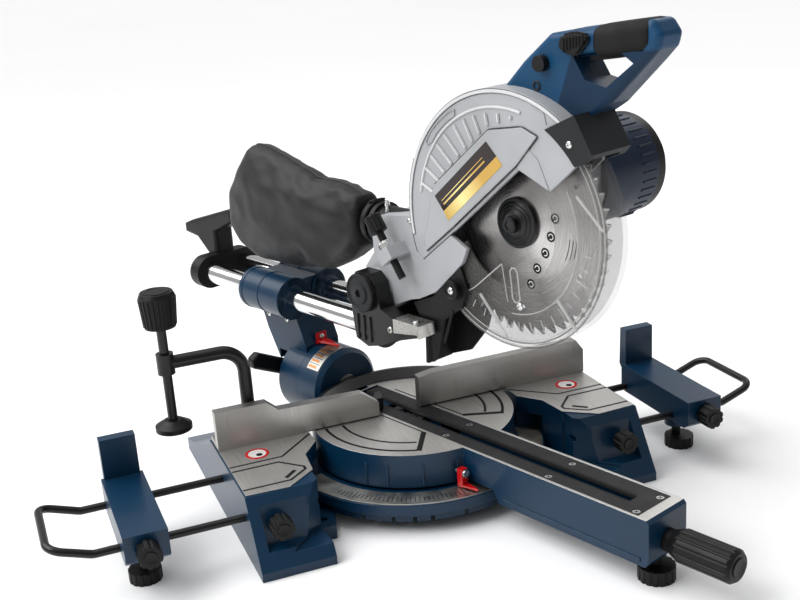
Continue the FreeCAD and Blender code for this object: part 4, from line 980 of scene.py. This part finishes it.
def bag_trim(bag):
    """Piping laid on the bag along its middle plane, and the collar and clip at its mouth."""
    path = [(44, 311), (64, 321), (100, 331), (138, 335), (180, 343), (222, 350), (236, 348), (262, 322),
            (284, 296), (291, 272), (291, 247), (284, 231), (272, 222)]
    tree = BVHTree.FromObject(bag, bpy.context.evaluated_depsgraph_get())
    centre = Vector((-9, 165, 280))
    seam = []
    for (y0, z0), (y1, z1) in zip(path, path[1:]):
        for part in (0, 0.25, 0.5, 0.75):
            out = Vector((centre.x, y0 + (y1 - y0) * part, z0 + (z1 - z0) * part)) - centre
            start = HEAD @ (centre + out * 1.6)
            hit = tree.ray_cast(start, (HEAD @ centre - start).normalized())[0]
            if hit:
                seam.append(HEAD.inverted() @ hit)
    piping = Shape("bag_piping", "head", "bag_fabric", nylon)
    piping.tube(seam, 1.5, 8)
    piping.finish()
    collar = Shape("bag_collar", "head", "black_plastic", black)
    collar.turned([(22.2, 0), (23.2, 1.2), (23.2, 6.8), (22.2, 8), (19.3, 8), (19.3, 0)], "y", (-2, 28, 284), 48)
    collar.tube([(-12, 38, 302), (-11, 32, 307), (-8, 28, 308.5), (0, 27, 308.5), (6, 29, 307),
                 (8, 35, 303)], 1.2, 8)
    collar.finish()


rounded_copies()
table_marks()
fence_details()
turntable_details()
guard_details()
clear_guard_details()
blade_disc()
head_details()
handle_details()
motor_details()
knob_details()
arm_details()
bag_trim(dust_bag())


# ---------------------------------------------------------------- camera, light and floor
def camera():
    azimuth, elevation, roll = radians(-20.52), radians(18.27), radians(-3.9)
    distance, target = 1.29057, Vector((0.00968, 0.04031, 0.18807))
    back = Vector((sin(azimuth) * cos(elevation), -cos(azimuth) * cos(elevation),
                   sin(elevation)))
    right = Vector((cos(azimuth), sin(azimuth), 0))
    up = back.cross(right)
    across = right * cos(roll) + up * sin(roll)
    upward = up * cos(roll) - right * sin(roll)
    lens = bpy.data.cameras.new("camera")
    lens.lens, lens.sensor_width, lens.clip_end = 52.71, 36, 200
    viewer = add(bpy.data.objects.new("camera", lens))
    rotation = Matrix((across, upward, back)).transposed().to_4x4()
    viewer.matrix_world = Matrix.Translation(target + back * distance) @ rotation
    bpy.context.scene.camera = viewer


def floor():
    bm = bmesh.new()
    bmesh.ops.create_grid(bm, x_segments=8, y_segments=8, size=40)
    mesh = bpy.data.meshes.new("floor")
    bm.to_mesh(mesh)
    bm.free()
    pale = Look("floor_pale", (0.88, 0.88, 0.88), 0.7, edge=0).vary(0.4, (0.86, 0.86, 0.87))
    mesh.materials.append(pale.material)
    add(bpy.data.objects.new("floor", mesh))


def sky():
    """White all round, brighter overhead and towards the back."""
    world = bpy.data.worlds.new("studio")
    world.use_nodes = True
    tree = world.node_tree
    place = shader_node(tree, "SeparateXYZ", {0: shader_node(tree, "TexCoord", {}).outputs["Generated"]}).outputs
    height = shader_node(tree, "Math", {1: 0.55, 0: place["Y"], 2: place["Z"]},
                         operation="MULTIPLY_ADD").outputs[0]
    fade = shader_node(tree, "MapRange", {0: height, 1: -0.5, 2: 0.6, 3: 0.10, 4: 0.5}).outputs[0]
    background = tree.nodes["Background"].inputs
    background["Color"].default_value = (1, 1, 1, 1)
    tree.links.new(fade, background["Strength"])
    bpy.context.scene.world = world


def lights():
    def light(name, kind, power, place, aim=(0, 0, 0)):
        lamp = bpy.data.lights.new(name, kind)
        lamp.energy = power
        direction = Vector(place) - Vector(aim)
        holder = add(bpy.data.objects.new(name, lamp))
        holder.matrix_world = Matrix.Translation(place) @ direction.to_track_quat("Z", "Y").to_matrix().to_4x4()
        return lamp

    light("sky_panel", "SUN", 2.6, (-0.5, 0.3, 0.8)).angle = radians(60)
    light("key", "AREA", 22, (-1.7, -0.3, 1.7), (0, 0, 0.1)).size = 1.2
    light("top", "AREA", 10, (0.2, 0.4, 2.6), (0, 0.1, 0.1)).size = 1.6
    light("rim", "AREA", 8, (1.9, 1.2, 1.5), (0, 0, 0.2)).size = 1.2


camera()
floor()
sky()
lights()
bpy.context.scene.view_settings.view_transform = "Standard"
